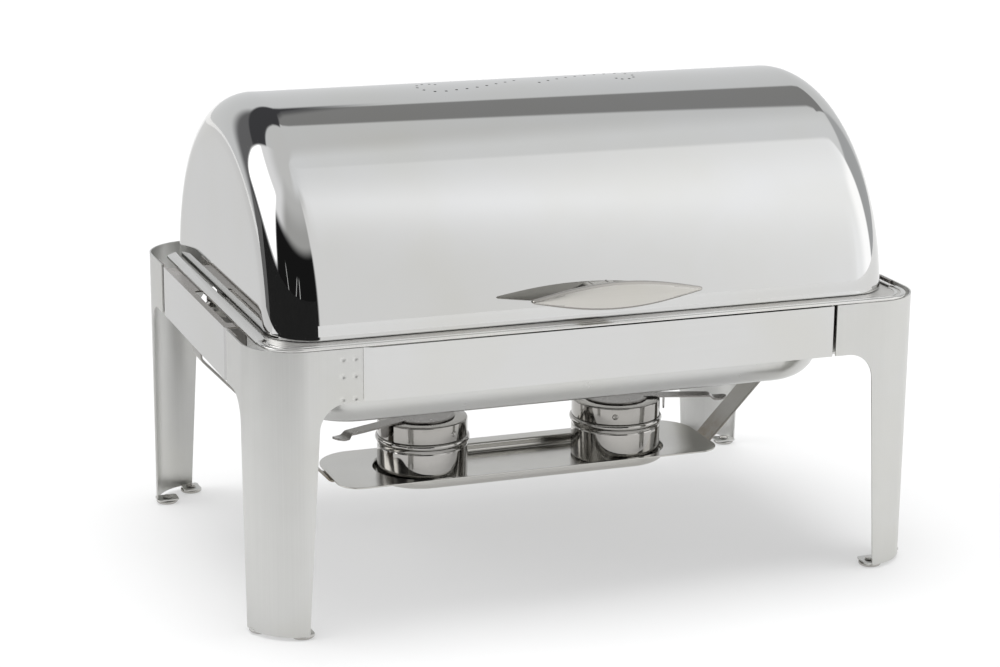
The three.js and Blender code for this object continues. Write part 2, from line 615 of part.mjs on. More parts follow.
// A disc over the cap's hole, with its rivet behind it and its lever in front along +X.
function buildDamper(turned, side) {
  const { radius, pivot, eye, sheet, tabX, tabHalf, tabDrop } = DAMPER;
  const { root, tip, halfWidth, dipX, lipX, dip, tipRise } = LEVER;
  const bottom = CAP.top + GAP;
  const top = bottom + sheet;
  const disc = rod(AXIS_Z, [0, 0, 0], radius, bottom, top, CUP_STEPS);
  const eyePlate = prism('XY', [at(0, -eye), at(0, eye), ...arc(-pivot, 0, eye, 90, 270)], bottom, top);
  const lever = prism('XZ', [
    at(root, bottom), at(dipX, bottom), at(lipX, bottom - dip), at(tip, bottom - dip + tipRise),
    at(tip, bottom - dip + tipRise + sheet), at(lipX, bottom - dip + sheet),
    at(dipX, bottom + LEVER.sheet), at(root, bottom + LEVER.sheet),
  ], -halfWidth, halfWidth);
  const leverPlan = [
    at(0, -halfWidth), ...arc(tip - halfWidth, 0, halfWidth, -90, 90, 10), at(0, halfWidth),
  ];
  const tab = prism('YZ', [
    at(-tabHalf, top), at(-tabHalf, bottom - tabDrop), ...arc(0, bottom - tabDrop, tabHalf, 180, 360),
    at(tabHalf, bottom - tabDrop), at(tabHalf, top),
  ], tabX, tabX + sheet);
  const blade = lever.intersect(prism('XY', leverPlan, 0, top * 2));
  const rivetClear = rod(AXIS_Z, [-pivot, 0, 0], RIVET.radius + GAP, bottom - 1, top + 1);
  const leverHole = rod(AXIS_Z, [LEVER_HOLE.x, 0, 0], LEVER_HOLE.radius, bottom - 1, top * 2);
  const damper = cut(join(disc, eyePlate, blade, tab), rivetClear, leverHole);
  addPart(turned, `damper_${side}`, damper, BRUSHED_STEEL);

  const rivet = addGroup(turned, -pivot);
  const under = CAP.top - CAP.sheet - GAP;
  const { radius: shank, head, tail, height, chamfer } = RIVET;
  addPart(rivet, `damper_rivet_${side}`, lathe([
    [0, under - height * 0.7], [tail, under - height * 0.7], [tail, under], [shank, under],
    [shank, top + GAP], [head, top + GAP], [head - chamfer, top + height * 0.75], [0, top + height],
  ], SMALL_STEPS), BOLT_STEEL);
}

// ---------------------------------------------------------------- the whole chafing dish

const chafer = new THREE.Group();
const frontReach = HANDLE.back + HANDLE.thickness - PIVOT.y;
chafer.position.y = (frontReach - FRAME.halfDepth) / 2;

buildLegs(chafer);
buildRails(chafer);
buildTray(chafer);
buildWaterPan(chafer);
buildFoodPan(chafer);
buildLid(addGroup(chafer, 0, PIVOT.y, PIVOT.z));
for (const [side, signX] of SIDES) {
  buildCup(addGroup(chafer, signX * CUP.x, PIVOT.y, TROUGH.bottom + TROUGH.sheet + GAP), side);
}
chafer.updateMatrixWorld(true);

export default chafer;
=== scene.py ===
"""The looks of the roll-top chafing dish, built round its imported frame. Metres, +Z up, front at -Y."""

import json
import math

import bmesh
import bpy
from mathutils import Matrix, Vector


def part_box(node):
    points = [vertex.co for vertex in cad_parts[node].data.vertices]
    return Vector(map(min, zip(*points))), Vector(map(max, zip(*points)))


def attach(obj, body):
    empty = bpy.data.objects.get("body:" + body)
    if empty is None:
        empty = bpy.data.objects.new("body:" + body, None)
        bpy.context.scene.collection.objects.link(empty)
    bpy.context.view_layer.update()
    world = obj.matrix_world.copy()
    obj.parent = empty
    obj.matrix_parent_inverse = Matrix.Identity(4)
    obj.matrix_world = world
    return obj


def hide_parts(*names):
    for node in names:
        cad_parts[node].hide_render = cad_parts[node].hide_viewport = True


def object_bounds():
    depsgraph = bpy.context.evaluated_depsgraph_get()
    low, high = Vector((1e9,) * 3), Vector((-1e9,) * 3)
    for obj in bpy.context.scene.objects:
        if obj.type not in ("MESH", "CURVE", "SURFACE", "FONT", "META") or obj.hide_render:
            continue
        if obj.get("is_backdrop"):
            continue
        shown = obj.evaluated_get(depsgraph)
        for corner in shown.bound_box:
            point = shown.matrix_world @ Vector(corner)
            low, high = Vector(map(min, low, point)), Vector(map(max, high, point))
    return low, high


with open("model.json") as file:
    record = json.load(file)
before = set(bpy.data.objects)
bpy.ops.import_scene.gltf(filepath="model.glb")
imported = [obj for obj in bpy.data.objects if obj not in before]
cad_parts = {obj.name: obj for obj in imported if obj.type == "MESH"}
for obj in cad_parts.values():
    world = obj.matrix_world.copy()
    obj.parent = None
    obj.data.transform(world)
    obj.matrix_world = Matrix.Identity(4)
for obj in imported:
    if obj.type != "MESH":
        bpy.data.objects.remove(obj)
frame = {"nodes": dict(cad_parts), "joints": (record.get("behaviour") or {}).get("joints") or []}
cad_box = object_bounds()

MM = 0.001
SIDES = (("left", -1), ("right", 1))
ENDS = (("front", -1), ("rear", 1))
GAP = 0.3 * MM  # between pieces that touch


def joint_place(name):
    return Vector(next(j["pos_m"] for j in frame["joints"] if j["name"] == name))


PIVOT = joint_place("lid_roll")  # a point on the axis that the lid rolls about, at x = 0
FRAME_LOW, FRAME_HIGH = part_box("leg_front_left")[0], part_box("leg_rear_right")[1]
FRAME_MIDDLE = (FRAME_LOW.y + FRAME_HIGH.y) / 2
HALF_WIDTH = FRAME_HIGH.x
HALF_DEPTH = (FRAME_HIGH.y - FRAME_LOW.y) / 2
FRAME_TOP = FRAME_HIGH.z
SHEET = 1.5 * MM  # thickness of the frame's sheet metal


# ---------------------------------------------------------------- camera, light and floor

CAMERA = {
    "place": (-0.827, -2.1575, 0.827),
    "yaw": 20.4,
    "pitch": 15.21,
    "roll": 0.53,
    "lens": 90.07,
}


def make_camera():
    yaw, pitch, roll = (math.radians(CAMERA[k]) for k in ("yaw", "pitch", "roll"))
    forward = Vector((math.sin(yaw) * math.cos(pitch), math.cos(yaw) * math.cos(pitch), -math.sin(pitch)))
    level = Vector((math.cos(yaw), -math.sin(yaw), 0))
    upright = level.cross(forward)
    right = math.cos(roll) * level + math.sin(roll) * upright
    up = right.cross(forward)
    data = bpy.data.cameras.new("camera")
    data.lens = CAMERA["lens"]
    data.clip_end = 200
    camera = bpy.data.objects.new("camera", data)
    camera.matrix_world = Matrix((right, up, -forward)).transposed().to_4x4()
    camera.location = CAMERA["place"]
    bpy.context.scene.collection.objects.link(camera)
    bpy.context.scene.camera = camera


class Nodes:
    """A short way to write a node tree."""

    def __init__(self, tree):
        self.tree = tree
        tree.nodes.clear()

    def add(self, kind, inputs=None, **settings):
        node = self.tree.nodes.new("ShaderNode" + kind)
        for key, value in settings.items():
            setattr(node, key, value)
        for key, value in (inputs or {}).items():
            socket = node.inputs[key]
            if isinstance(value, bpy.types.NodeSocket):
                self.tree.links.new(value, socket)
            else:
                socket.default_value = value
        return node

    def math(self, operation, *values):
        return self.add("Math", dict(enumerate(values)), operation=operation).outputs[0]

    def mix(self, factor, first, second):
        """One colour over another; 6, 7 and 2 are the mix node's colour sockets."""
        inputs = {"Factor": factor, 6: first, 7: second}
        return self.add("Mix", inputs, data_type="RGBA").outputs[2]

    def ramp(self, factor, *stops):
        """Smooth interpolation of a value through (place, value) stops."""
        node = self.add("ValToRGB", {"Fac": factor})
        elements = node.color_ramp.elements
        while len(elements) < len(stops):
            elements.new(0.5)
        for element, (place, value) in zip(elements, stops):
            element.position = place
            element.color = (value, value, value, 1)
        return node.outputs[0]

    def step(self, value, edge, softness):
        """0 below edge, 1 above it, with a smooth change softness wide."""
        inputs = {"Value": value, "From Min": edge - softness / 2, "From Max": edge + softness / 2}
        return self.add("MapRange", inputs, interpolation_type="SMOOTHSTEP").outputs[0]

    def between(self, value, low, high, soft_low, soft_high=None):
        above = self.step(value, low, soft_low)
        below = self.math("SUBTRACT", 1.0, self.step(value, high, soft_high or soft_low))
        return self.math("MULTIPLY", above, below)


# The studio, as bearings and heights in degrees. A bearing is measured from the front (-Y),
# positive to the right; one from_behind is measured from +Y, positive to the right too.
CEILING = (0.77, 0.77, 0.765, 1)
RIGHT_CEILING = (0.93, 0.94, 0.95, 1)
HAZE = (0.68, 0.68, 0.675, 1)
HAZE_LOW = (0.50, 0.50, 0.49, 1)
FRONT_BOX = (1.29, 1.30, 1.32, 1)
FRONT_BOX_EDGE = (0.98, 0.98, 0.975, 1)
RIGHT_BOX = (1.60, 1.60, 1.62, 1)
WINDOW_GLOW = (1.05, 1.05, 1.06, 1)
WINDOW = (3.0, 3.0, 3.0, 1)
BACK_WALL = (0.78, 0.79, 0.80, 1)
RIGHT_WALL = (0.52, 0.53, 0.54, 1)
BACK_GAP = (0.30, 0.30, 0.30, 1)
DIM = (0.17, 0.17, 0.175, 1)
DARK = (0.065, 0.065, 0.07, 1)
BLACK = (0.012, 0.012, 0.012, 1)
STANDS = ((-52.0, 0.55), (-47.0, -0.45), (-30.0, 0.1))  # bearing and lean of the light stands
STAND_WIDTH = 1.1
# The dark area behind on the left ends below on a curve through these: its height straight
# behind, then its first and second change with the bearing.
DIM_EDGE = (48.0, 1.35, 0.009)


def make_studio():
    """Soft boxes, dark gaps between them and a window, all far away, which the steel mirrors."""
    world = bpy.data.worlds.new("studio")
    bpy.context.scene.world = world
    world.use_nodes = True
    n = Nodes(world.node_tree)
    direction = n.add("TexCoord").outputs["Generated"]
    part = n.add("SeparateXYZ", {0: direction}).outputs
    degree = 180 / math.pi
    front = n.math("MULTIPLY", part["Y"], -1.0)
    bearing = n.math("MULTIPLY", n.math("ARCTAN2", part["X"], front), degree)
    from_behind = n.math("MULTIPLY", n.math("ARCTAN2", part["X"], part["Y"]), degree)
    height = n.math("MULTIPLY", n.math("ARCSINE", part["Z"]), degree)

    def patch(colour, below, bearings, heights, soft=(3.0, 3.0, 3.0, 3.0), angle=bearing):
        """Paints a box over what is below it. soft is its left, right, lower and upper edge."""
        mask = n.math(
            "MULTIPLY",
            n.between(angle, *bearings, *soft[:2]),
            n.between(height, *heights, *soft[2:]),
        )
        return n.mix(mask, below, colour)

    sky = n.mix(n.step(height, 62.0, 30.0), BACK_WALL, CEILING)
    sky = patch(RIGHT_CEILING, sky, (-10, 120), (40, 89), (40, 30, 3, 16))
    sky = patch(HAZE, sky, (-72, 28), (-90, 70), (20, 20, 3, 12))
    sky = patch(HAZE_LOW, sky, (-72, 14), (-90, 55), (20, 14, 3, 18))
    sky = patch(FRONT_BOX_EDGE, sky, (10.5, 84), (-90, 66), (5, 6, 3, 20))
    sky = patch(FRONT_BOX, sky, (28, 84), (-90, 66), (20, 6, 3, 34))
    sky = patch(RIGHT_BOX, sky, (56, 84), (-90, 44), (24, 5, 3, 16))
    sky = patch(RIGHT_WALL, sky, (85, 122), (-90, 40), (6, 6, 3, 6))
    sky = patch(BACK_GAP, sky, (20, 60), (39, 55), (2, 2, 2, 2), from_behind)
    edge, change, bend = DIM_EDGE
    slope = n.math("MULTIPLY_ADD", from_behind, bend, change)
    slope = n.math("MULTIPLY_ADD", from_behind, slope, edge)
    above_slope = n.step(n.math("SUBTRACT", height, slope), 0.0, 16.0)
    behind_left = n.math("MULTIPLY", n.between(from_behind, -50, 2, 3.0), above_slope)
    behind_left = n.math("MULTIPLY", behind_left, n.between(height, 0, 58, 3.0))
    sky = n.mix(behind_left, sky, DIM)
    sky = patch(DARK, sky, (-49, 21), (37, 58), (3, 3, 3, 3), from_behind)
    sky = patch(DARK, sky, (-132, -80), (-90, 14), (6, 6, 3, 6))
    sky = patch(WINDOW_GLOW, sky, (-133, -66), (30, 63), (4, 24, 7, 18))
    sky = patch(WINDOW, sky, (-132, -86), (14, 48), (4, 8, 7, 6))
    sky = patch(BLACK, sky, (-84, 10.5), (-90, 38), (4, 4, 3, 8))
    for stand, lean in STANDS:
        leaning = n.math("MULTIPLY_ADD", height, lean, bearing)
        sky = patch(CEILING, sky, (stand, stand + STAND_WIDTH), (-90, 22), (0.7, 0.7, 1, 3), leaning)
    background = n.add("Background", {"Color": sky, "Strength": 1.0})
    n.add("OutputWorld", {"Surface": background.outputs[0]})


FLOOR_HALF = 60.0
FLOOR_TONES = ((0.34, 0.34, 0.34, 1), (0.35, 0.35, 0.35, 1))
FLOOR_GLOW = 0.47


def make_floor():
    """A white studio floor, lit a little by its own glow so that it stays white everywhere."""
    material = bpy.data.materials.new("studio_floor")
    material.use_nodes = True
    n = Nodes(material.node_tree)
    grain = n.add("TexNoise", {"Scale": 3.0, "Detail": 4.0}).outputs["Fac"]
    tone = n.mix(n.ramp(grain, (0.3, 0.0), (0.7, 1.0)), *FLOOR_TONES)
    surface = n.add("BsdfPrincipled", {
        "Base Color": tone,
        "Roughness": 0.9,
        "Specular IOR Level": 0.1,
        "Emission Color": (1, 1, 1, 1),
        "Emission Strength": FLOOR_GLOW,
    })
    n.add("OutputMaterial", {"Surface": surface.outputs[0]})
    mesh = bpy.data.meshes.new("studio_floor")
    edge = FLOOR_HALF
    corners = [(-edge, -edge, 0), (edge, -edge, 0), (edge, edge, 0), (-edge, edge, 0)]
    mesh.from_pydata(corners, [], [(0, 1, 2, 3)])
    mesh.materials.append(material)
    floor = bpy.data.objects.new("studio_floor", mesh)
    bpy.context.scene.collection.objects.link(floor)
    floor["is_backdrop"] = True


def make_card(name, points, faces, glow):
    """A studio card that only the steel's reflections see."""
    material = bpy.data.materials.new(name)
    material.use_nodes = True
    n = Nodes(material.node_tree)
    weave = n.add("TexNoise", {"Scale": 8.0, "Detail": 3.0}).outputs["Fac"]
    colour = n.mix(weave, (0.96, 0.96, 0.96, 1), (1, 1, 1, 1))
    surface = n.add("BsdfPrincipled", {
        "Base Color": (0.01, 0.01, 0.01, 1),
        "Roughness": 0.9,
        "Specular IOR Level": 0.0,
        "Emission Color": colour,
        "Emission Strength": glow,
    })
    n.add("OutputMaterial", {"Surface": surface.outputs[0]})
    mesh = bpy.data.meshes.new(name)
    mesh.from_pydata(points, [], faces)
    mesh.materials.append(material)
    card = bpy.data.objects.new(name, mesh)
    card.visible_camera = False
    card.visible_diffuse = False
    card.visible_shadow = False
    bpy.context.scene.collection.objects.link(card)
    card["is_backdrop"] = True


CARD_LIFT = 0.5 * MM
CARD_CENTRE = (-0.27, -0.10)
CARD_RADIUS = 1.5
CARD_HEIGHT = 0.62
CARD_STEPS = 24
UPRIGHT_CARDS = ((-130, -116, 0.16), (-116, 8, 0.012))  # first and last bearing, glow
LYING_CARDS = (  # two corners and the glow
    ((-4.0, 0.35), (-0.42, 8.0), 0.83),
    ((-0.35, -6.0), (5.0, -0.62), 1.08),
)


def make_cards():
    """The dark studio round the camera, a grey floor behind on the left, a bright one in front."""
    for first, last, glow in UPRIGHT_CARDS:
        points = []
        for k in range(CARD_STEPS + 1):
            bearing = math.radians(first + (last - first) * k / CARD_STEPS)
            x = CARD_CENTRE[0] + CARD_RADIUS * math.sin(bearing)
            y = CARD_CENTRE[1] - CARD_RADIUS * math.cos(bearing)
            points += [(x, y, CARD_LIFT), (x, y, CARD_HEIGHT)]
        faces = [(2 * k, 2 * k + 1, 2 * k + 3, 2 * k + 2) for k in range(CARD_STEPS)]
        make_card("upright_card", points, faces, glow)
    for low, high, glow in LYING_CARDS:
        corners = [(low[0], low[1], CARD_LIFT), (high[0], low[1], CARD_LIFT)]
        corners += [(high[0], high[1], CARD_LIFT), (low[0], high[1], CARD_LIFT)]
        make_card("lying_card", corners, [(0, 1, 2, 3)], glow)


OVERHEAD_POWER = 3.0
OVERHEAD_SPREAD = math.radians(42)
OVERHEAD_LEAN = math.radians(-5)


def make_overhead_light():
    """A broad soft light from above for the floor and its shadow, which the steel doesn't mirror."""
    data = bpy.data.lights.new("overhead", "SUN")
    data.energy = OVERHEAD_POWER
    data.angle = OVERHEAD_SPREAD
    light = bpy.data.objects.new("overhead", data)
    light.rotation_euler = (OVERHEAD_LEAN, 0, 0)
    light.visible_glossy = False
    bpy.context.scene.collection.objects.link(light)


# ---------------------------------------------------------------- steel finishes, several darkened with painted shade and one lightened with painted light

def steel(name, colour, roughness, grain, smudge=0.05, heat=None):
    """Stainless steel. grain is its fine lines' stretch along x, y and z, their depth and contrast.
    heat is the pair of heights between which a weld's straw and brown tint fades away."""
    material = bpy.data.materials.new(name)
    material.use_nodes = True
    n = Nodes(material.node_tree)
    place = n.add("TexCoord").outputs["Object"]
    stretch, depth, contrast = grain
    along = n.add("Mapping", {"Vector": place, "Scale": stretch}).outputs[0]
    fine = {"Vector": along, "Scale": 1.0, "Detail": 2.0, "Roughness": 0.6}
    lines = n.add("TexNoise", fine).outputs["Fac"]
    clouds = n.add("TexNoise", {"Vector": place, "Scale": 9.0, "Detail": 3.0}).outputs["Fac"]
    smears = {"Vector": place, "Scale": 55.0, "Detail": 6.0, "Roughness": 0.7}
    marks = n.add("TexNoise", smears).outputs["Fac"]

    dull = tuple(c * (1 - contrast) for c in colour[:3]) + (1,)
    tone = n.mix(n.ramp(lines, (0.32, 0.0), (0.68, 1.0)), dull, colour)
    warm = (colour[0] * 0.97, colour[1] * 0.965, colour[2] * 0.94, 1)
    tone = n.mix(n.ramp(clouds, (0.42, 0.0), (0.72, 1.0)), tone, warm)
    if heat:
        height = n.add("SeparateXYZ", {0: place}).outputs["Z"]
        wavy = n.math("MULTIPLY_ADD", marks, 0.012, height)
        inputs = {"Value": wavy, "From Min": heat[0], "From Max": heat[1]}
        tint = n.math("SUBTRACT", 1.0, n.add("MapRange", inputs).outputs[0])
        brown = (colour[0] * 0.62, colour[1] * 0.50, colour[2] * 0.36, 1)
        tone = n.mix(n.math("MULTIPLY", tint, n.ramp(marks, (0.4, 0.25), (0.62, 1.0))), tone, brown)
    gloss = n.math("MULTIPLY_ADD", n.ramp(marks, (0.45, 0.0), (0.8, 1.0)), smudge, roughness)
    gloss = n.math("MULTIPLY_ADD", lines, contrast * 0.25, gloss)
    bump = n.add("Bump", {"Height": lines, "Strength": 1.0, "Distance": depth}).outputs[0]
    surface = n.add("BsdfPrincipled", {
        "Base Color": tone,
        "Metallic": 1.0,
        "Roughness": gloss,
        "Normal": bump,
    })
    n.add("OutputMaterial", {"Surface": surface.outputs[0]})
    return material


LINES_X = (5, 1100, 1100)
LINES_Y = (1100, 5, 1100)
LINES_Z = (1100, 1100, 5)
FINE = (260, 260, 260)

MIRROR = steel("mirror_steel", (0.62, 0.62, 0.615, 1), 0.025, ((14, 14, 14), 0.0, 0.01), 0.02)
POLISHED = steel("polished_steel", (0.625, 0.625, 0.62, 1), 0.10, (LINES_X, 5e-7, 0.02), 0.04)
POLISHED_SIDE = steel("polished_side_steel", (0.60, 0.60, 0.595, 1), 0.12, (LINES_Y, 5e-7, 0.02), 0.04)
# painted shade: the cups' base colour is set far darker than polished steel's, standing in for dark
# reflections the studio doesn't give them
PAINTED_SHADE_CUP = steel("polished_cup_steel_painted_shade", (0.42, 0.41, 0.395, 1), 0.07, (FINE, 6e-7, 0.04), 0.05)
SATIN = steel("satin_steel", (0.62, 0.62, 0.605, 1), 0.34, (LINES_Z, 1e-6, 0.03), 0.05)
SATIN_PLATE = steel("satin_handle_steel", (0.58, 0.565, 0.53, 1), 0.34, (LINES_X, 1e-6, 0.03), 0.05)
BRUSHED = steel("brushed_steel", (0.58, 0.57, 0.545, 1), 0.20, (LINES_X, 9e-7, 0.06), 0.05)
# painted shade: the straps' base colour is set far darker than the other steel; the straw and brown weld
# tint low down is their own colour
STRAP_HEAT_TINT_PAINTED_SHADE = steel("strap_steel_heat_tint_and_painted_shade", (0.36, 0.35, 0.33, 1), 0.30, (LINES_Y, 9e-7, 0.06), 0.08, (0.080, 0.105))
# painted shade: the dampers' base colour is set far darker than the other steel, standing in for shade and
# dark reflections
PAINTED_SHADE_DAMPER = steel("damper_steel_painted_shade", (0.24, 0.23, 0.22, 1), 0.24, (FINE, 8e-7, 0.06), 0.06)
FASTENER = steel("fastener_steel", (0.50, 0.49, 0.47, 1), 0.20, (FINE, 1e-6, 0.08), 0.08)
RIM_STEEL = steel("rim_steel", (0.66, 0.655, 0.64, 1), 0.16, (LINES_X, 5e-7, 0.02), 0.05)
# painted shade: a darker, warmer steel for the ledge and the rails' inner faces, standing in for the shade
# and dark reflections there
PAINTED_SHADE_LEDGE = steel("ledge_steel_painted_shade", (0.42, 0.395, 0.37, 1), 0.26, (LINES_Y, 5e-7, 0.04), 0.08)
# painted light: a lighter, rougher steel for the flange's flat top, so that the line below the lid's edge
# reads light instead of dark
PAINTED_LIGHT_FLANGE = steel("flange_steel_painted_light", (0.76, 0.75, 0.73, 1), 0.50, (LINES_X, 5e-7, 0.02), 0.05)
# painted shade: a near-black steel for faces and sheets that stand in shade, painted dark rather than shaded
# by the light
PAINTED_SHADE_STEEL = steel("painted_shade_steel", (0.13, 0.125, 0.115, 1), 0.28, (LINES_Y, 5e-7, 0.05), 0.10)
# painted shade: a darker steel for the handle's bevelled rim, standing in for its shaded edges
PAINTED_SHADE_HANDLE_EDGE = steel("handle_edge_steel_painted_shade", (0.40, 0.385, 0.36, 1), 0.24, (LINES_X, 5e-7, 0.03), 0.05)
# painted shade: the caps' base colour is set far darker than polished steel's, standing in for dark
# reflections
PAINTED_SHADE_CAP = steel("polished_cap_steel_painted_shade", (0.38, 0.37, 0.355, 1), 0.08, (FINE, 6e-7, 0.04), 0.05)
TUB_STEEL = steel("tub_steel", (0.60, 0.60, 0.59, 1), 0.24, (LINES_X, 5e-7, 0.03), 0.05)
INNER = steel("pressed_steel", (0.60, 0.60, 0.59, 1), 0.20, (FINE, 1e-6, 0.05), 0.08)


# ---------------------------------------------------------------- mesh tools

def linked(mesh, name):
    piece = bpy.data.objects.new(name, mesh)
    bpy.context.scene.collection.objects.link(piece)
    return piece


def mesh_of(name, shells, sharp=35.0):
    """One smooth mesh from several (vertices, faces) shells, with hard edges above an angle."""
    vertices, faces = [], []
    for points, polygons in shells:
        first = len(vertices)
        vertices += [tuple(p) for p in points]
        faces += [tuple(i + first for i in polygon) for polygon in polygons]
    work = bmesh.new()
    corners = [work.verts.new(v) for v in vertices]
    for polygon in faces:
        unique = list(dict.fromkeys(polygon))
        if len(unique) > 2:
            work.faces.new([corners[i] for i in unique])
    bmesh.ops.remove_doubles(work, verts=work.verts, dist=1e-6)
    bmesh.ops.dissolve_degenerate(work, edges=work.edges, dist=1e-7)
    bmesh.ops.recalc_face_normals(work, faces=work.faces)
    mesh = bpy.data.meshes.new(name)
    work.to_mesh(mesh)
    work.free()
    mesh.shade_smooth()
    mesh.set_sharp_from_angle(angle=math.radians(sharp))
    return mesh


def finished(name, shape, body, material, replaced, sharp=35.0):
    """A visible piece made of shells, or of a mesh, with what every piece has to say."""
    mesh = mesh_of(name, shape, sharp) if isinstance(shape, list) else shape
    mesh.materials.append(material)
    piece = linked(mesh, name)
    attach(piece, body)
    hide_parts(*replaced)
    return piece


CUT_EDGE = 0.3 * MM  # rounding of a deburred edge


def soften(piece, width=CUT_EDGE, segments=2):
    """Rounds the cut edges of a piece, as deburred sheet metal has them."""
    bevel = piece.modifiers.new("rounded_edges", "BEVEL")
    bevel.width = width
    bevel.segments = segments
    bevel.limit_method = "ANGLE"
    bevel.angle_limit = math.radians(40)
    bevel.harden_normals = True


def cut_away(mesh, cutter):
    """The first mesh less the second, as a new mesh."""
    body, tool = linked(mesh, "cut_body"), linked(cutter, "cut_tool")
    boolean = body.modifiers.new("cut", "BOOLEAN")
    boolean.operation = "DIFFERENCE"
    boolean.solver = "EXACT"
    boolean.object = tool
    graph = bpy.context.evaluated_depsgraph_get()
    result = bpy.data.meshes.new_from_object(body.evaluated_get(graph))
    for used in (body, tool):
        bpy.data.objects.remove(used)
    result.materials.clear()
    result.shade_smooth()
    result.set_sharp_from_angle(angle=math.radians(35))
    return result


def joined(name, meshes):
    """One mesh of several, left as separate shells."""
    work = bmesh.new()
    for mesh in meshes:
        work.from_mesh(mesh)
    result = bpy.data.meshes.new(name)
    work.to_mesh(result)
    work.free()
    result.shade_smooth()
    result.set_sharp_from_angle(angle=math.radians(35))
    return result


def paint(piece, material, chosen):
    """Gives the faces that pass the test another finish."""
    piece.data.materials.append(material)
    last = len(piece.data.materials) - 1
    for face in piece.data.polygons:
        if chosen(face):
            face.material_index = last


def strip_faces(rows, columns, closed=False):
    """Quads between rows of equally many points; closed joins each row's last point to its first."""
    faces = []
    for r in range(rows - 1):
        for c in range(columns if closed else columns - 1):
            d = (c + 1) % columns
            faces.append((r * columns + c, r * columns + d, (r + 1) * columns + d, (r + 1) * columns + c))
    return faces


def loft(rings):
    """A skin through closed rings of equally many points, with both ends filled."""
    count = len(rings[0])
    points = [p for ring in rings for p in ring]
    faces = strip_faces(len(rings), count, closed=True)
    faces.append(tuple(range(count)))
    faces.append(tuple(range(len(points) - count, len(points))))
    return points, faces


def lathe(profile, centre, steps):
    """A profile of (radius, height) points turned about the upright line through centre."""
    rings = []
    for k in range(steps):
        angle = 2 * math.pi * k / steps
        ring = [Vector((r * math.cos(angle), r * math.sin(angle), z)) for r, z in profile]
        rings.append([p + Vector(centre) for p in ring])
    count = len(profile)
    points = [p for ring in rings for p in ring]
    faces = []
    for k in range(steps):
        m = (k + 1) % steps
        for c in range(count - 1):
            faces.append((k * count + c, m * count + c, m * count + c + 1, k * count + c + 1))
    return points, faces


def filleted(points, radii, steps=5, closed=False):
    """A polyline of (a, b) points with its corners rounded by the radii, one for each point."""
    out = []
    count = len(points)
    for i, (point, radius) in enumerate(zip(points, radii)):
        here = Vector(point)
        if radius <= 0 or (not closed and i in (0, count - 1)):
            out.append(here)
            continue
        before = (Vector(points[i - 1]) - here).normalized()
        after = (Vector(points[(i + 1) % count]) - here).normalized()
        half = before.angle(after) / 2
        reach = radius / math.tan(half)
        middle = here + (before + after).normalized() * (radius / math.sin(half))
        start, end = here + before * reach - middle, here + after * reach - middle
        sweep = start.angle_signed(end)
        for k in range(steps + 1):
            turned = Matrix.Rotation(-sweep * k / steps, 2) @ start
            out.append(middle + turned)
    return out


def arc_points(centre, radius, start, end, steps):
    """Points on an arc, with angles in degrees, both ends included."""
    out = []
    for k in range(steps + 1):
        angle = math.radians(start + (end - start) * k / steps)
        out.append(Vector((centre[0] + radius * math.cos(angle), centre[1] + radius * math.sin(angle))))
    return out


def rounded_ring(half_x, half_y, radius, z, steps, centre_y=0.0):
    """A level rectangle with round corners, as one closed ring of points."""
    ring = []
    for start, sx, sy in ((0, 1, 1), (90, -1, 1), (180, -1, -1), (270, 1, -1)):
        middle = (sx * (half_x - radius), centre_y + sy * (half_y - radius))
        ring += [Vector((p.x, p.y, z)) for p in arc_points(middle, radius, start, start + 90, steps)]
    return ring


def offset_path(path, distance):
    """The open path moved sideways by distance, to the left of its direction."""
    out = []
    for i, point in enumerate(path):
        before, after = path[max(i - 1, 0)], path[min(i + 1, len(path) - 1)]
        first = (point - before).normalized() if i > 0 else (after - point).normalized()
        second = (after - point).normalized() if i < len(path) - 1 else first
        normal = Vector((-first.y - second.y, first.x + second.x)).normalized()
        stretch = 1 / max(0.3, normal.dot(Vector((-first.y, first.x))))
        out.append(point + normal * distance * stretch)
    return out


def bent_strip(path, thickness, start, end, place, columns):
    """Sheet metal bent along a path of (a, b) points, between two places on the third axis.
    place(a, b, c) gives a point in the frame; the sheet thickens to the left of the path."""
    loop = path + offset_path(path, thickness)[::-1]
    rings = []
    for k in range(columns):
        c = start + (end - start) * k / (columns - 1)
        rings.append([place(p.x, p.y, c) for p in loop])
    return loft(rings)


# ---------------------------------------------------------------- legs

RAIL_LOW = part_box("rail_front")[0].z
LEG_LOW = FRAME_LOW.z
SEAM_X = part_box("leg_front_right")[0].x
SEAM_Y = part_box("leg_rear_right")[0].y - FRAME_MIDDLE
CORNER = 48 * MM
ARCH_RADIUS = 25 * MM
ARCH_X, FOOT_X = 238.5 * MM, 274 * MM
ARCH_Y, FOOT_Y = 145.5 * MM, 178 * MM
TAB = (18 * MM, 22 * MM)
TAB_CORNER = 3 * MM
WELDS = [(across * MM, down * MM) for across in (7, 18) for down in (9, 24, 44)]
WELD_RADIUS, WELD_DEPTH = 1.9 * MM, 0.55 * MM
WELD_ZONE = FRAME_TOP - 46 * MM  # the welds all lie above this
LEG_ROWS = 90
ROWS_BELOW_WELDS = 0.4  # share of the rows


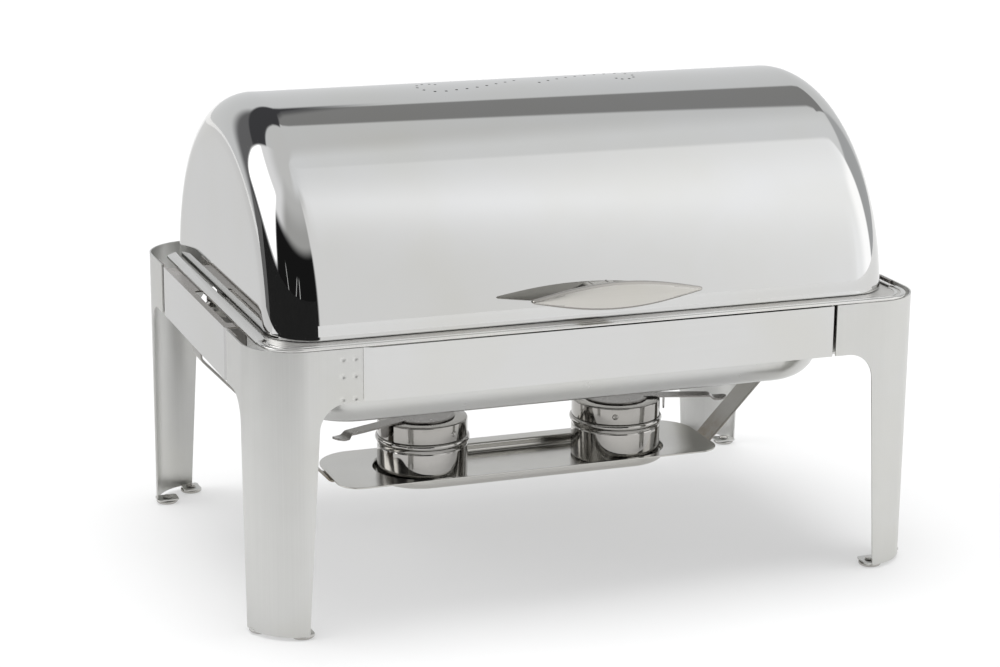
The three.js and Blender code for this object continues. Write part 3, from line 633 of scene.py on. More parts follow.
class LegPlan:
    """The bent sheet seen from above, in the quarter with x and y above the frame's middle.
    A length s runs from the front or rear seam, round the corner, to the side seam."""

    face = HALF_WIDTH - CORNER - SEAM_X
    bend = CORNER * math.pi / 2
    flank = HALF_DEPTH - CORNER - SEAM_Y
    total = face + bend + flank

    @classmethod
    def at(cls, s, inset):
        centre = Vector((HALF_WIDTH - CORNER, HALF_DEPTH - CORNER))
        if s < cls.face:
            return Vector((SEAM_X + s, HALF_DEPTH - inset))
        if s > cls.face + cls.bend:
            return Vector((HALF_WIDTH - inset, HALF_DEPTH - CORNER - (s - cls.face - cls.bend)))
        angle = (s - cls.face) / CORNER
        return centre + (CORNER - inset) * Vector((math.sin(angle), math.cos(angle)))

    @classmethod
    def length_at(cls, distance, flat):
        """s where the plan is at this distance from the seam, past a flat stretch of length flat."""
        if distance < flat:
            return distance
        return flat + CORNER * math.asin(min(1.0, (distance - flat) / CORNER))


def lower_edge(seam, arch, foot, flat):
    """(s, z) along a flange's cut edge, from its seam to where it meets the foot."""
    knee = RAIL_LOW - ARCH_RADIUS
    edge = [Vector((0.0, RAIL_LOW))]
    edge += [Vector((p.x - seam, p.y)) for p in arc_points((arch, knee), ARCH_RADIUS, 90, 0, 14)]
    start = edge[-1].x
    for k in range(1, 9):
        share = k / 8
        distance = start + (foot - seam - start) * share
        edge.append(Vector((LegPlan.length_at(distance, flat), knee + (LEG_LOW - knee) * share)))
    return edge


def leg_columns():
    """(s, lowest z) for each upright line of the leg's grid, close together where it has welds."""
    left = lower_edge(SEAM_X, ARCH_X, FOOT_X, LegPlan.face)
    right = [Vector((LegPlan.total - p.x, p.y)) for p in lower_edge(SEAM_Y, ARCH_Y, FOOT_Y, LegPlan.flank)]
    right.reverse()
    fine = 0.8 * MM
    columns = []
    for first, second in zip(left, left[1:]):
        parts = max(1, round((second.x - first.x) / fine)) if first.x < 25 * MM else 1
        columns += [first.lerp(second, k / parts) for k in range(parts)]
    start, end = left[-1].x, right[0].x
    columns += [Vector((start + (end - start) * k / 40, LEG_LOW)) for k in range(41)]
    return columns + right[1:]


def weld_dip(s, z):
    """How far the sheet is pressed in at a spot weld near the front or rear seam."""
    dip = 0.0
    for across, down in WELDS:
        apart = math.hypot(s - across, z - (FRAME_TOP - down)) / WELD_RADIUS
        dip += math.exp(-apart * apart) - 0.35 * math.exp(-((apart - 1.7) * 2.2) ** 2)
    return dip * WELD_DEPTH


def leg_height(low, share):
    """The height of a point of an upright grid line that starts at low. Rows crowd at the welds."""
    if low >= WELD_ZONE:
        return low + (FRAME_TOP - low) * share
    if share < ROWS_BELOW_WELDS:
        return low + (WELD_ZONE - low) * share / ROWS_BELOW_WELDS
    return WELD_ZONE + (FRAME_TOP - WELD_ZONE) * (share - ROWS_BELOW_WELDS) / (1 - ROWS_BELOW_WELDS)


def make_leg(end, sign_y, side, sign_x):
    """A sheet of two skins on one grid, their borders joined all round, with its glide plates."""
    def placed(s, z, inset):
        point = LegPlan.at(s, inset)
        return Vector((point.x * sign_x, FRAME_MIDDLE + point.y * sign_y, z))

    columns = leg_columns()
    count = LEG_ROWS
    outer, inner = [], []
    for s, low in columns:
        for k in range(count):
            z = leg_height(low, k / (count - 1))
            dip = weld_dip(s, z) if side == "left" else 0.0
            outer.append(placed(s, z, max(0.0, dip)))
            inner.append(placed(s, z, SHEET + min(dip, 0.3 * MM)))
    rows = len(columns)
    size = len(outer)
    faces = strip_faces(rows, count)
    faces += [tuple(i + size for i in reversed(face)) for face in strip_faces(rows, count)]
    rim = [r * count for r in range(rows)]
    rim += [(rows - 1) * count + c for c in range(1, count)]
    rim += [r * count + count - 1 for r in range(rows - 2, -1, -1)]
    rim += [c for c in range(count - 2, 0, -1)]
    for first, second in zip(rim, rim[1:] + rim[:1]):
        faces.append((first, second, second + size, first + size))
    shells = [(outer + inner, faces)]
    shells += leg_tabs(end, side)
    name = f"leg_{end}_{side}_sheet"
    piece = finished(name, shells, "frame", SATIN, [f"leg_{end}_{side}"])
    soften(piece)


def leg_tabs(end, side):
    """The two small plates that the glides are riveted through."""
    shells = []
    for letter, across in (("a", TAB), ("b", TAB[::-1])):
        low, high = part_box(f"glide_{end}_{side}_{letter}")
        middle = (low + high) / 2
        half_x, half_y = across[0] / 2 - GAP, across[1] / 2 - GAP
        rings = []
        for z in (LEG_LOW, LEG_LOW + SHEET):
            ring = rounded_ring(half_x, half_y, TAB_CORNER, z, 4)
            rings.append([p + Vector((middle.x, middle.y, 0)) for p in ring])
        shells.append(loft(rings))
    return shells


def make_glide(name):
    """A round foot with a raised ring, a domed rivet head and a soft lower edge."""
    low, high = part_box(name)
    centre = ((low.x + high.x) / 2, (low.y + high.y) / 2, 0)
    radius = (high.x - low.x) / 2
    top, head = 3 * MM, high.z
    profile = [(0, 0)] + filleted(
        [(0, 0), (radius - 1.2 * MM, 0), (radius, 1.2 * MM), (radius, top), (3 * MM, top),
         (3 * MM, head - 1.7 * MM), (5 * MM, head - 1.7 * MM), (4.4 * MM, head - 0.5 * MM), (0, head)],
        [0, 0.8 * MM, 0.5 * MM, 0.6 * MM, 0.2 * MM, 0, 0.3 * MM, 0.8 * MM, 0], 3)[1:]
    shells = [lathe(profile, centre, 48)]
    finished(name + "_foot", shells, "frame", FASTENER, [name])


# ---------------------------------------------------------------- rails

JOGGLE = 9 * MM
SIDE_STEP = SHEET + 2 * GAP  # how far a rail's end steps back behind a leg
END_STEP = 3.8 * MM
SEAM_WIDTH, SEAM_DEPTH = 3 * MM, 7 * MM
RAIL_DROP = 0.7 * MM  # the front rail's top lies this far below the legs' tops


def rail_path(seam, reach, face, step):
    """Plan of a rail whose ends step back behind the legs, from its middle to one end."""
    behind = face - step
    points = [(0, face), (seam - JOGGLE, face), (seam - GAP, behind), (reach, behind)]
    return filleted(points, [0, 4 * MM, 1.5 * MM, 0], 6)


def open_seam_path(seam, reach, face):
    """Plan of a rail's end that leaves an open, dark seam beside the leg."""
    behind = face - SEAM_DEPTH
    edge = seam - SEAM_WIDTH
    points = [(0, face), (edge, face), (edge + 0.6 * MM, behind), (reach, behind)]
    return filleted(points, [0, 0.8 * MM, 0.6 * MM, 0], 4)


def make_end_rail(end, sign_y):
    low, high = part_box(f"rail_{end}")
    left = rail_path(SEAM_X, high.x, HALF_DEPTH, END_STEP)
    right = open_seam_path(SEAM_X, high.x, HALF_DEPTH)
    path = [Vector((-p.x, p.y)) for p in reversed(left[1:])] + right[1:]

    def place(a, b, c):
        return Vector((a, FRAME_MIDDLE + b * sign_y, c))

    shells = [bent_strip(path, -SHEET, low.z, high.z - RAIL_DROP, place, 12)]
    piece = finished(f"rail_{end}_sheet", shells, "frame", POLISHED, [f"rail_{end}"])
    soften(piece)


LEDGE_TOP = FRAME_TOP - 1.3 * MM
LEDGE_HALF = 115 * MM
NOTCH = (313 * MM, -100 * MM, 20 * MM)  # inner edge, and where it starts and ends along Y


def make_side_rail(side, sign_x):
    low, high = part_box(f"rail_{side}")
    half = rail_path(SEAM_Y, (high.y - low.y) / 2, HALF_WIDTH, SIDE_STEP)
    path = [Vector((-p.x, p.y)) for p in reversed(half[1:])] + half[1:]

    def place(a, b, c):
        return Vector((b * sign_x, FRAME_MIDDLE + a, c))

    wall = bent_strip(path, -SHEET, low.z, high.z, place, 12)
    inner = min(abs(low.x), abs(high.x))
    root = HALF_WIDTH - SHEET / 2
    notch, first, last = NOTCH
    outline = filleted(
        [(root, -LEDGE_HALF), (root, LEDGE_HALF), (inner, LEDGE_HALF), (inner, last), (notch, last),
         (notch, first), (inner, first), (inner, -LEDGE_HALF)],
        [0, 0, 3 * MM, 2 * MM, 3 * MM, 3 * MM, 2 * MM, 3 * MM], 4, closed=True)
    rings = []
    for z in (LEDGE_TOP - SHEET, LEDGE_TOP):
        rings.append([Vector((p.x * sign_x, FRAME_MIDDLE + p.y, z)) for p in outline])
    ledge = loft(rings)
    name, node = f"rail_{side}_sheet", f"rail_{side}"
    piece = finished(name, [wall, ledge], "frame", POLISHED_SIDE, [node])
    # painted shade: the ledge and the wall's inner faces get the darker steel
    paint(piece, PAINTED_SHADE_LEDGE, lambda face: abs(face.center.x) < HALF_WIDTH - 1.2 * MM)
    soften(piece)


# ---------------------------------------------------------------- fuel tray

TROUGH_HALF = (149 * MM, 46.5 * MM)
TROUGH_FILLET = 6 * MM
TRAY_SHEET = 1.5 * MM
TRAY_CORNERS = {-1: 22 * MM, 1: 38 * MM}  # front and rear


def stadium_ring(half_x, half_y, z, centre_y, steps=16):
    return rounded_ring(half_x, half_y, half_y - 1e-5, z, steps, centre_y)


def tray_ring(inset, z, steps=16):
    """The plate's outline, with wider corners behind, point for point beside a stadium ring."""
    low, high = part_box("fuel_tray")
    ring = []
    for start, sx, sy in ((0, 1, 1), (90, -1, 1), (180, -1, -1), (270, 1, -1)):
        radius = TRAY_CORNERS[sy]
        edge = high.y if sy > 0 else low.y
        middle = (sx * (high.x - radius), edge - sy * radius)
        arc = arc_points(middle, radius - inset, start, start + 90, steps)
        ring += [Vector((p.x, p.y, z)) for p in arc]
    return ring


def make_tray():
    """A plate with a deep trough pressed into it, its mouth and its floor both rounded."""
    low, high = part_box("fuel_tray")
    centre = PIVOT.y
    top, floor = high.z, low.z
    half_x, half_y = TROUGH_HALF
    mouth = 2.2 * MM

    def skin(lift, grow):
        """One side of the pressing: grow moves it outwards from the trough's middle."""
        rings = [tray_ring(0.0, top - lift)]
        rings.append(tray_ring(0.8 * MM, top - lift))
        lip = mouth - grow
        for k in range(7):
            a = math.pi / 2 * k / 6
            x = half_x - SHEET + grow + lip * (1 - math.sin(a))
            y = half_y - SHEET + grow + lip * (1 - math.sin(a))
            rings.append(stadium_ring(x, y, top - lift - lip * (1 - math.cos(a)), centre))
        fillet = TROUGH_FILLET - SHEET + grow
        base = floor + SHEET - grow
        for k in range(9):
            a = math.pi / 2 * k / 8
            x = half_x - SHEET + grow - fillet * (1 - math.cos(a))
            y = half_y - SHEET + grow - fillet * (1 - math.cos(a))
            rings.append(stadium_ring(x, y, base + fillet * (1 - math.sin(a)), centre))
        return rings

    upper, under = skin(0.0, 0.0), skin(TRAY_SHEET, SHEET)
    shells = [loft(upper[::-1] + under)]
    piece = finished("fuel_tray_pressing", shells, "frame", BRUSHED, ["fuel_tray"])
    soften(piece)


STRAP_BEND = 195 * MM


def make_tray_strap(side, sign_x):
    low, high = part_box(f"tray_strap_{side}")
    inner, outer = min(abs(low.x), abs(high.x)), max(abs(low.x), abs(high.x))
    thick = 2 * MM
    under = low.z + thick
    knee = high.z - 33 * MM
    points = [(inner, under), (STRAP_BEND, under), (outer - thick, knee), (outer - thick, high.z)]
    path = filleted(points, [0, 6 * MM, 8 * MM, 0], 8)

    def place(a, b, c):
        return Vector((a * sign_x, c, b))

    shells = [bent_strip(path, -thick, low.y, high.y, place, 8)]
    name, node = f"tray_strap_{side}_bar", f"tray_strap_{side}"
    # the strap's steel carries painted shade in its dark base colour, besides its real weld tint
    piece = finished(name, shells, "frame", STRAP_HEAT_TINT_PAINTED_SHADE, [node])
    soften(piece, 0.5 * MM, 3)


# ---------------------------------------------------------------- water pan

TUB = {"half": (262 * MM, 152 * MM), "corner": 60 * MM, "fillet": 30 * MM, "sheet": 1 * MM}
RIM_CORNER, RIM_REAR_CORNER = 32 * MM, 35 * MM
RIM_MIDDLE_X = 302 * MM
RIM_REAR_X = 290.5 * MM
RIM_SEAM_Y, RIM_SLOT_Y = FRAME_MIDDLE - 180 * MM, FRAME_MIDDLE - 24 * MM
BEAD_HEIGHT = 1.3 * MM
RIM_BEADS = (  # inset, width, height
    (0.1 * MM, 4.6 * MM, BEAD_HEIGHT),
    (7.2 * MM, 3.4 * MM, 0.9 * MM),
)


def rim_outline():
    """The flange seen from above, from the front's left round to the rear."""
    low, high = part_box("water_pan")
    front, rear, half = low.y, high.y, high.x
    right = arc_points((half - RIM_CORNER, front + RIM_CORNER), RIM_CORNER, 270, 360, 14)
    right += [Vector((half, RIM_SEAM_Y)), Vector((RIM_MIDDLE_X, RIM_SEAM_Y))]
    right += [Vector((RIM_MIDDLE_X, RIM_SLOT_Y)), Vector((RIM_REAR_X, RIM_SLOT_Y))]
    rear_centre = (RIM_REAR_X - RIM_REAR_CORNER, rear - RIM_REAR_CORNER)
    right += arc_points(rear_centre, RIM_REAR_CORNER, 0, 90, 14)
    return right + [Vector((-p.x, p.y)) for p in reversed(right)]


def tub_rings(half, corner, fillet, inset, bottom, top, centre_y, mouth=0.0):
    """Rings of a pressed tub from its mouth down to its floor, with a rounded mouth if given."""
    x, y = half[0] - inset, half[1] - inset
    radius, bend = corner - inset, fillet - inset
    rings = []
    if mouth:
        for k in range(6):
            a = math.pi / 2 * k / 6
            grow = mouth * (1 - math.sin(a))
            drop = mouth * (1 - math.cos(a))
            rings.append(rounded_ring(x + grow, y + grow, radius + grow, top - drop, 12, centre_y))
    wall_top = top - mouth
    wall_low = bottom + inset + bend
    for k in range(5):
        z = wall_top + (wall_low - wall_top) * k / 4
        rings.append(rounded_ring(x, y, radius, z, 12, centre_y))
    for k in range(1, 9):
        a = math.pi / 2 * k / 8
        shrink = bend * (1 - math.cos(a))
        z = wall_low - bend * math.sin(a)
        rings.append(rounded_ring(x - shrink, y - shrink, radius - shrink, z, 12, centre_y))
    return rings


def make_water_pan():
    low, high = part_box("water_pan")
    flange_top = high.z - BEAD_HEIGHT
    outline = rim_outline()
    sheet = TUB["sheet"]
    rings = [[Vector((p.x, p.y, z)) for p in outline] for z in (flange_top - sheet, flange_top)]
    plate = mesh_of("pan_plate", [loft(rings)])
    half_x, half_y = (half - sheet for half in TUB["half"])
    hole = [rounded_ring(half_x, half_y, TUB["corner"] - sheet, z, 12, PIVOT.y)
            for z in (flange_top - 9 * MM, flange_top + 9 * MM)]
    plate = cut_away(plate, mesh_of("pan_mouth", [loft(hole)]))

    inner = tub_rings(TUB["half"], TUB["corner"], TUB["fillet"], sheet, low.z, flange_top, PIVOT.y)
    outer = tub_rings(TUB["half"], TUB["corner"], TUB["fillet"], 0, low.z, flange_top - sheet / 2, PIVOT.y)
    tub = loft(inner[::-1] + outer)
    beads = [rim_bead(flange_top, *bead) for bead in RIM_BEADS]
    name = "water_pan_pressing"
    mesh = joined(name, [plate, mesh_of("pan_tub", [tub]), mesh_of("pan_beads", beads)])
    piece = finished(name, mesh, "water_pan_assembly", TUB_STEEL, ["water_pan"])
    paint(piece, RIM_STEEL, lambda face: face.center.z > flange_top - 1.05 * sheet)
    flat = flange_top + 0.02 * MM
    # painted light: the flange's flat top faces get the lighter steel
    paint(piece, PAINTED_LIGHT_FLANGE, lambda face: flat - 0.1 * MM < face.center.z < flat and face.normal.z > 0.9)


def rim_bead(flange_top, edge, width, height):
    """A half-round bead along the flange's front and round its corners, edge in from its border."""
    low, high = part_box("water_pan")
    front, half = low.y, high.x
    radius = width / 2
    inset = radius + edge
    path = [Vector((half - inset, RIM_SEAM_Y))]
    path += arc_points((half - RIM_CORNER, front + RIM_CORNER), RIM_CORNER - inset, 360, 270, 18)
    path += [Vector((-p.x, p.y)) for p in reversed(path)]
    root = -TUB["sheet"] * 0.6
    section = [(p.x, p.y * height / radius) for p in arc_points((0, 0), radius, 0, 180, 12)]
    section += [(-radius, root), (radius, root)]
    rings = []
    for i, point in enumerate(path):
        before, after = path[max(i - 1, 0)], path[min(i + 1, len(path) - 1)]
        direction = (after - before).normalized()
        side = Vector((-direction.y, direction.x))
        rings.append([(*(point + side * a), flange_top + b) for a, b in section])
    return loft(rings)


def make_rim_strip(side, sign_x):
    """A bent strip beside the lid's end wall: inner lip, sloping top, outer hem."""
    low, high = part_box(f"rim_strip_{side}")
    inner, outer = min(abs(low.x), abs(high.x)), max(abs(low.x), abs(high.x))
    sheet = 1.2 * MM
    points = [(inner, low.z), (inner, high.z), (outer, high.z - 3.2 * MM), (outer, low.z)]
    path = filleted(points, [0, 1.5 * MM, 1.8 * MM, 0], 6)

    def place(a, b, c):
        return Vector((a * sign_x, c, b))

    shells = [bent_strip(path, -sheet, low.y, high.y, place, 12)]
    name, node = f"rim_strip_{side}_bend", f"rim_strip_{side}"
    piece = finished(name, shells, "water_pan_assembly", RIM_STEEL, [node])
    lip = inner + 0.4 * MM
    # painted shade: the inner lip's faces get the near-black steel, so that they and their reflection in the
    # lid's end wall read dark
    paint(piece, PAINTED_SHADE_STEEL, lambda face: abs(face.center.x) < lip and face.center.z < high.z - MM)
    soften(piece)


SHADE_FLAP = {"inner": 299.7 * MM, "thick": 1.2 * MM, "low": 234 * MM, "high": 257.9 * MM}
SHADE_FLAP_ENDS = (-106 * MM, 36 * MM)


def make_shade_flap(side, sign_x):
    """A dark flap of painted shade under the rim, where there is only shade: it closes the view past the
    pivot through the ledge's notch.
    """
    outline = filleted(
        [(SHADE_FLAP_ENDS[0], SHADE_FLAP["low"]), (SHADE_FLAP_ENDS[1], SHADE_FLAP["low"]),
         (SHADE_FLAP_ENDS[1], SHADE_FLAP["high"]), (SHADE_FLAP_ENDS[0], SHADE_FLAP["high"])],
        [8 * MM, 8 * MM, 1 * MM, 1 * MM], 6, closed=True)
    rings = []
    for x in (SHADE_FLAP["inner"], SHADE_FLAP["inner"] + SHADE_FLAP["thick"]):
        rings.append([Vector((sign_x * x, p.x, p.y)) for p in outline])
    mesh = mesh_of(f"rim_shade_flap_{side}", [loft(rings)])
    # painted shade: the flap gets the near-black steel
    mesh.materials.append(PAINTED_SHADE_STEEL)
    piece = linked(mesh, f"rim_shade_flap_{side}")
    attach(piece, "water_pan_assembly")
    soften(piece, 0.25 * MM)


def make_food_pan():
    low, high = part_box("food_pan")
    sheet = 0.8 * MM
    centre = (low.y + high.y) / 2
    half = (250 * MM, 147 * MM)
    corner, fillet = 45 * MM, 20 * MM
    rim_half, rim_corner = (high.x, (high.y - low.y) / 2), 38 * MM

    def skin(inset, top):
        rings = [rounded_ring(rim_half[0], rim_half[1], rim_corner, top, 12, centre)]
        return rings + tub_rings(half, corner, fillet, inset, low.z, top, centre, 4 * MM + inset - sheet)

    upper, under = skin(sheet, high.z), skin(0.0, high.z - sheet)
    shells = [loft(upper[::-1] + under)]
    piece = finished("food_pan_pressing", shells, "food_pan", INNER, ["food_pan"])
    soften(piece, 0.2 * MM)


# ---------------------------------------------------------------- pivots

def make_pivot_nut(side, sign_x):
    """A domed cap nut: a hexagon with a chamfered face and a turned dome."""
    low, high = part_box(f"pivot_nut_{side}")
    start, end = (low.x, high.x) if sign_x > 0 else (high.x, low.x)
    radius = (high.z - low.z) / 2
    centre = Vector((0, (low.y + high.y) / 2, (low.z + high.z) / 2))
    hexagon = 4.6 * MM

    def place(angle, r, along):
        return centre + Vector((start + sign_x * along, r * math.cos(angle), r * math.sin(angle)))

    rings = []
    for share, along in ((0.93, 0.0), (1.0, 0.4 * MM), (1.0, hexagon - 0.5 * MM), (0.9, hexagon)):
        ring = []
        for k in range(48):
            angle = 2 * math.pi * k / 48
            within = (angle % (math.pi / 3)) - math.pi / 6
            flat = radius * math.cos(math.pi / 6) / math.cos(within)
            ring.append(place(angle, min(flat, radius * share * 0.99), along))
        rings.append(ring)
    dome = abs(end - start) - hexagon
    for k in range(1, 9):
        a = math.pi / 2 * k / 8
        r = radius * 0.80 * math.cos(a)
        r = max(r, 0.01 * MM)
        along = hexagon + dome * math.sin(a)
        rings.append([place(2 * math.pi * j / 48, r, along) for j in range(48)])
    name, node = f"pivot_nut_{side}_cap", f"pivot_nut_{side}"
    body = "water_pan_assembly"
    finished(name, [loft(rings)], body, FASTENER, [node], sharp=28)


# ---------------------------------------------------------------- lid

LID_LOW, LID_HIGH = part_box("lid_shell")
LID_RADIUS = LID_HIGH.z - PIVOT.z
LID_HALF = LID_HIGH.x
LID_FILLET = 41 * MM
LID_SHEET = 1 * MM
LID_CUT = LID_LOW.z - PIVOT.z
ANGLE_STEPS = 220
LID_HEM = 0.6 * MM
HEM_CLEAR = 2  # mm from an end wall within which the lid's edge isn't flared
VENT_RADIUS = 1.4 * MM
VENT_SHIFT = -6.5 * MM  # of the scrolls' middle, from the pivot towards the front


def lid_profile(inset):
    """(radius, x) from the middle of one end wall, over its fillet, to the other end wall."""
    radius, half, fillet = LID_RADIUS - inset, LID_HALF - inset, LID_FILLET - inset
    wall_from, wall_to = LID_CUT + 0.5 * MM, radius - fillet
    wall = [(wall_from + (wall_to - wall_from) * k / 16, -half) for k in range(16)]
    bend = []
    for k in range(25):
        a = math.pi / 2 * k / 24
        bend.append((radius - fillet + fillet * math.sin(a), -half + fillet - fillet * math.cos(a)))
    flat = [(radius, (-half + fillet) * (1 - 2 * k / 96)) for k in range(1, 96)]
    first = wall + bend
    return first + flat + [(r, -x) for r, x in reversed(first)]


def lid_skin(inset, cut):
    """Rows of points over the lid, each an arc about the rolling axis that ends at the lid's edge."""
    points = []
    for radius, x in lid_profile(inset):
        start = math.asin(min(1.0, cut / radius))
        for k in range(ANGLE_STEPS + 1):
            share = k / ANGLE_STEPS
            bend = 0.5 - 0.5 * math.cos(math.pi * share)
            angle = start + (math.pi - 2 * start) * (share * 0.6 + bend * 0.4)
            height = radius * math.sin(angle)
            hem = LID_HEM * math.exp(-((height - LID_CUT - 1.1 * MM) / (0.8 * MM)) ** 2)
            flared = radius if (LID_HALF - abs(x)) / MM < HEM_CLEAR else radius + hem
            points.append(Vector((x, PIVOT.y - flared * math.cos(angle), PIVOT.z + height)))
    return points


def vent_centres():
    """Two scrolls of holes, each the other turned half round: a wave that ends in a curl."""
    half = []
    for i in range(7):
        t = i / 7
        half.append((-(10 + 76 * t) * MM, (7 - 25 * math.sin(t * math.pi / 2)) * MM))
    for i in range(8):
        t = i / 7
        angle = math.radians(285 - 220 * t)
        radius = 20 - 12.5 * t * t
        half.append(((-91 + radius * math.cos(angle)) * MM, (-0.1 + radius * math.sin(angle)) * MM))
    return half + [(-x, -y) for x, y in half]


def make_lid():
    """Two skins joined by a rounded edge, with the vent holes drilled through."""
    columns = ANGLE_STEPS + 1
    outer = lid_skin(0.0, LID_CUT + 0.35 * MM)
    edge = lid_skin(LID_SHEET / 2, LID_CUT)
    inner = lid_skin(LID_SHEET, LID_CUT + 0.35 * MM)
    rows = len(outer) // columns
    size = len(outer)
    faces = strip_faces(rows, columns)
    faces += [tuple(i + size for i in face) for face in strip_faces(rows, columns)]
    ends = [(r * columns, 2 * size + r) for r in range(rows)]
    ends += [(r * columns + columns - 1, 2 * size + rows + r) for r in reversed(range(rows))]
    middle = [edge[r * columns] for r in range(rows)]
    middle += [edge[r * columns + columns - 1] for r in range(rows)]
    for (a, m), (b, p) in zip(ends, ends[1:] + ends[:1]):
        faces.append((a, b, p, m))
        faces.append((m, p, b + size, a + size))
    mesh = mesh_of("lid_skin", [(outer + inner + middle, faces)])
    drills = []
    for x, y in vent_centres():
        drill = [(0, 0.15), (VENT_RADIUS, 0.15), (VENT_RADIUS, 0.25), (0, 0.25)]
        drills.append(lathe(drill, (x, PIVOT.y + y + VENT_SHIFT, PIVOT.z), 16))
    mesh = cut_away(mesh, mesh_of("vent_drills", drills))
    finished("lid_dome", mesh, "lid", MIRROR, ["lid_shell"])


HANDLE_TIP = 1.3 * MM
HANDLE_ROUND = 2.4 * MM  # length over which the tips round off
HANDLE_BEVEL = 2.0 * MM
HANDLE_CROWN = 0.7 * MM


def make_handle():
    """A leaf of thick plate with a bevelled edge, swelling a little in front, with small round tips."""
    low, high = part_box("handle_plate")
    half, rise, thick = high.x, (high.z - low.z) / 2, high.y - low.y
    middle = (low.z + high.z) / 2
    rings = []
    stations = 140
    for i in range(stations + 1):
        u = -math.cos(math.pi * i / stations)
        near_end = min(1.0, half * (1 - abs(u)) / HANDLE_ROUND)
        blunt = max(0.04, math.sqrt(1 - (1 - near_end) ** 2))
        tall = (HANDLE_TIP + (rise - HANDLE_TIP) * (1 - u * u) ** 1.15) * blunt
        deep = thick * (0.6 + 0.4 * math.sqrt(1 - u * u)) * blunt
        section = leaf_section(tall, deep)
        rings.append([Vector((half * u, high.y - p.x, middle + p.y)) for p in section])
    shells = [loft(rings)]
    piece = finished(
        "handle_leaf", shells, "lid", SATIN_PLATE, ["handle_plate"], sharp=60)
    # painted shade: the faces that don't face front or back, the bevelled rim, get the darker steel
    paint(piece, PAINTED_SHADE_HANDLE_EDGE, lambda face: abs(face.normal.y) < 0.93)


def leaf_section(tall, deep):
    """The handle's section as (distance ahead of its flat back, height) points."""
    bevel = min(HANDLE_BEVEL, 0.35 * tall, 0.3 * deep)
    crown = min(HANDLE_CROWN, 0.15 * deep)
    shoulder = deep - crown
    outline = [(0, 0), (0, tall), (shoulder - bevel, tall), (shoulder, tall - bevel), (shoulder, 0)]
    soft = 0.4 * bevel
    half = filleted(outline, [0, soft, soft, soft, 0], 4)[1:-1]
    face = []
    for k in range(1, 12):
        height = (tall - bevel) * (1 - k / 6)
        face.append(Vector((shoulder + crown * (1 - (height / (tall - bevel)) ** 2), height)))
    return half + face + [Vector((p.x, -p.y)) for p in reversed(half)]


BRACKET_DROP = 3 * MM


def make_bracket():
    """The block that carries the handle, with rounded edges, let into the lid's skin."""
    low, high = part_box("handle_bracket")
    middle = (low.z + high.z) / 2 - BRACKET_DROP
    half_x, half_z = high.x, (high.z - low.z) / 2 - 0.5 * MM
    drop = middle - PIVOT.z
    back = PIVOT.y - math.sqrt(LID_RADIUS ** 2 - drop ** 2) + 0.6 * MM
    rings = []
    for y in (low.y, back):
        ring = rounded_ring(half_x, half_z, 3 * MM, 0, 6)
        rings.append([Vector((p.x, y, middle + p.y)) for p in ring])
    finished("handle_block", [loft(rings)], "lid", SATIN_PLATE, ["handle_bracket"])


# ---------------------------------------------------------------- fuel cups

CUP_STEPS = 128  # points round a cup


def centre_of(node):
    low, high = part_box(node)
    return Vector(((low.x + high.x) / 2, (low.y + high.y) / 2, low.z))


def make_cup(side):
    """A turned cup with a groove near its top and a rolled bead at its mouth."""
    node = f"cup_body_{side}"
    low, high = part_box(node)
    centre = centre_of(node)
    bead = (high.x - low.x) / 2
    radius, sheet = 43.5 * MM, 1.2 * MM
    rim = high.z - low.z
    inner = radius - sheet
    groove = rim - 9.2 * MM
    profile = [(0, 0.6 * MM), (radius - 12 * MM, 0.6 * MM), (radius - 11 * MM, 0), (radius, 0),
               (radius, groove - 1 * MM), (radius - 0.5 * MM, groove), (radius, groove + 1 * MM),
               (radius, rim - 6 * MM)]
    rounds = [0, 0.4 * MM, 0.4 * MM, 3 * MM, 0.6 * MM, 0.6 * MM, 0.6 * MM, 0]
    outside = filleted(profile, rounds, 5)
    roll = []
    for k in range(13):
        a = math.radians(-80 + 170 * k / 12)
        reach = bead - radius
        roll.append(Vector((radius + reach * math.cos(a) * 0.98, rim - 2.8 * MM + 2.7 * MM * math.sin(a))))
    inside = [(radius - 0.3 * MM, rim), (inner, rim - 0.2 * MM), (inner, sheet), (0, sheet)]
    inside = filleted(inside, [0, 0.2 * MM, 2 * MM, 0], 4)
    name, body = f"cup_{side}_body", f"fuel_cup_{side}"
    shells = [lathe(outside + roll + inside, centre, CUP_STEPS)]
    # the cup's steel carries painted shade: a base colour darkened to stand in for dark reflections
    finished(name, shells, body, PAINTED_SHADE_CUP, [node], sharp=50)


FIRST_DIMPLE = {"left": 295, "right": 247}  # bearing from +X of the boss in front


def make_cap(side):
    """A ring with a spigot that drops into the cup, and three bosses on its wall."""
    node = f"cup_cap_{side}"
    low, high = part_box(node)
    centre = centre_of(f"cup_body_{side}")
    centre.z = low.z
    wall, hole, sheet = 43.3 * MM, 26 * MM, 1.2 * MM
    height = high.z - low.z
    lip = 7.3 * MM
    spigot = 42 * MM
    outline = [(hole, height - sheet), (spigot - 2 * MM, height - sheet), (spigot - 1 * MM, height - 3 * MM),
               (spigot - 1 * MM, 0), (spigot, 0), (spigot, lip), (wall, lip), (wall, height),
               (hole, height)]
    rounds = [0.3 * MM, 0.6 * MM, 0.6 * MM, 0.2 * MM, 0.2 * MM, 0.1 * MM, 0.3 * MM, 1.6 * MM, 0.4 * MM]
    profile = filleted(outline, rounds, 5, closed=True)
    profile.append(profile[0])
    shells = [lathe(profile, centre, CUP_STEPS * 2)]
    for turn in (0, 120, 240):
        angle = math.radians(FIRST_DIMPLE[side] + turn)
        shells.append(dimple_cup(centre, wall, angle, centre.z + lip + 8 * MM))
    # the cap's steel carries painted shade: a base colour darkened to stand in for dark reflections
    finished(f"cup_{side}_cap", shells, f"cap_{side}", PAINTED_SHADE_CAP, [node], sharp=40)


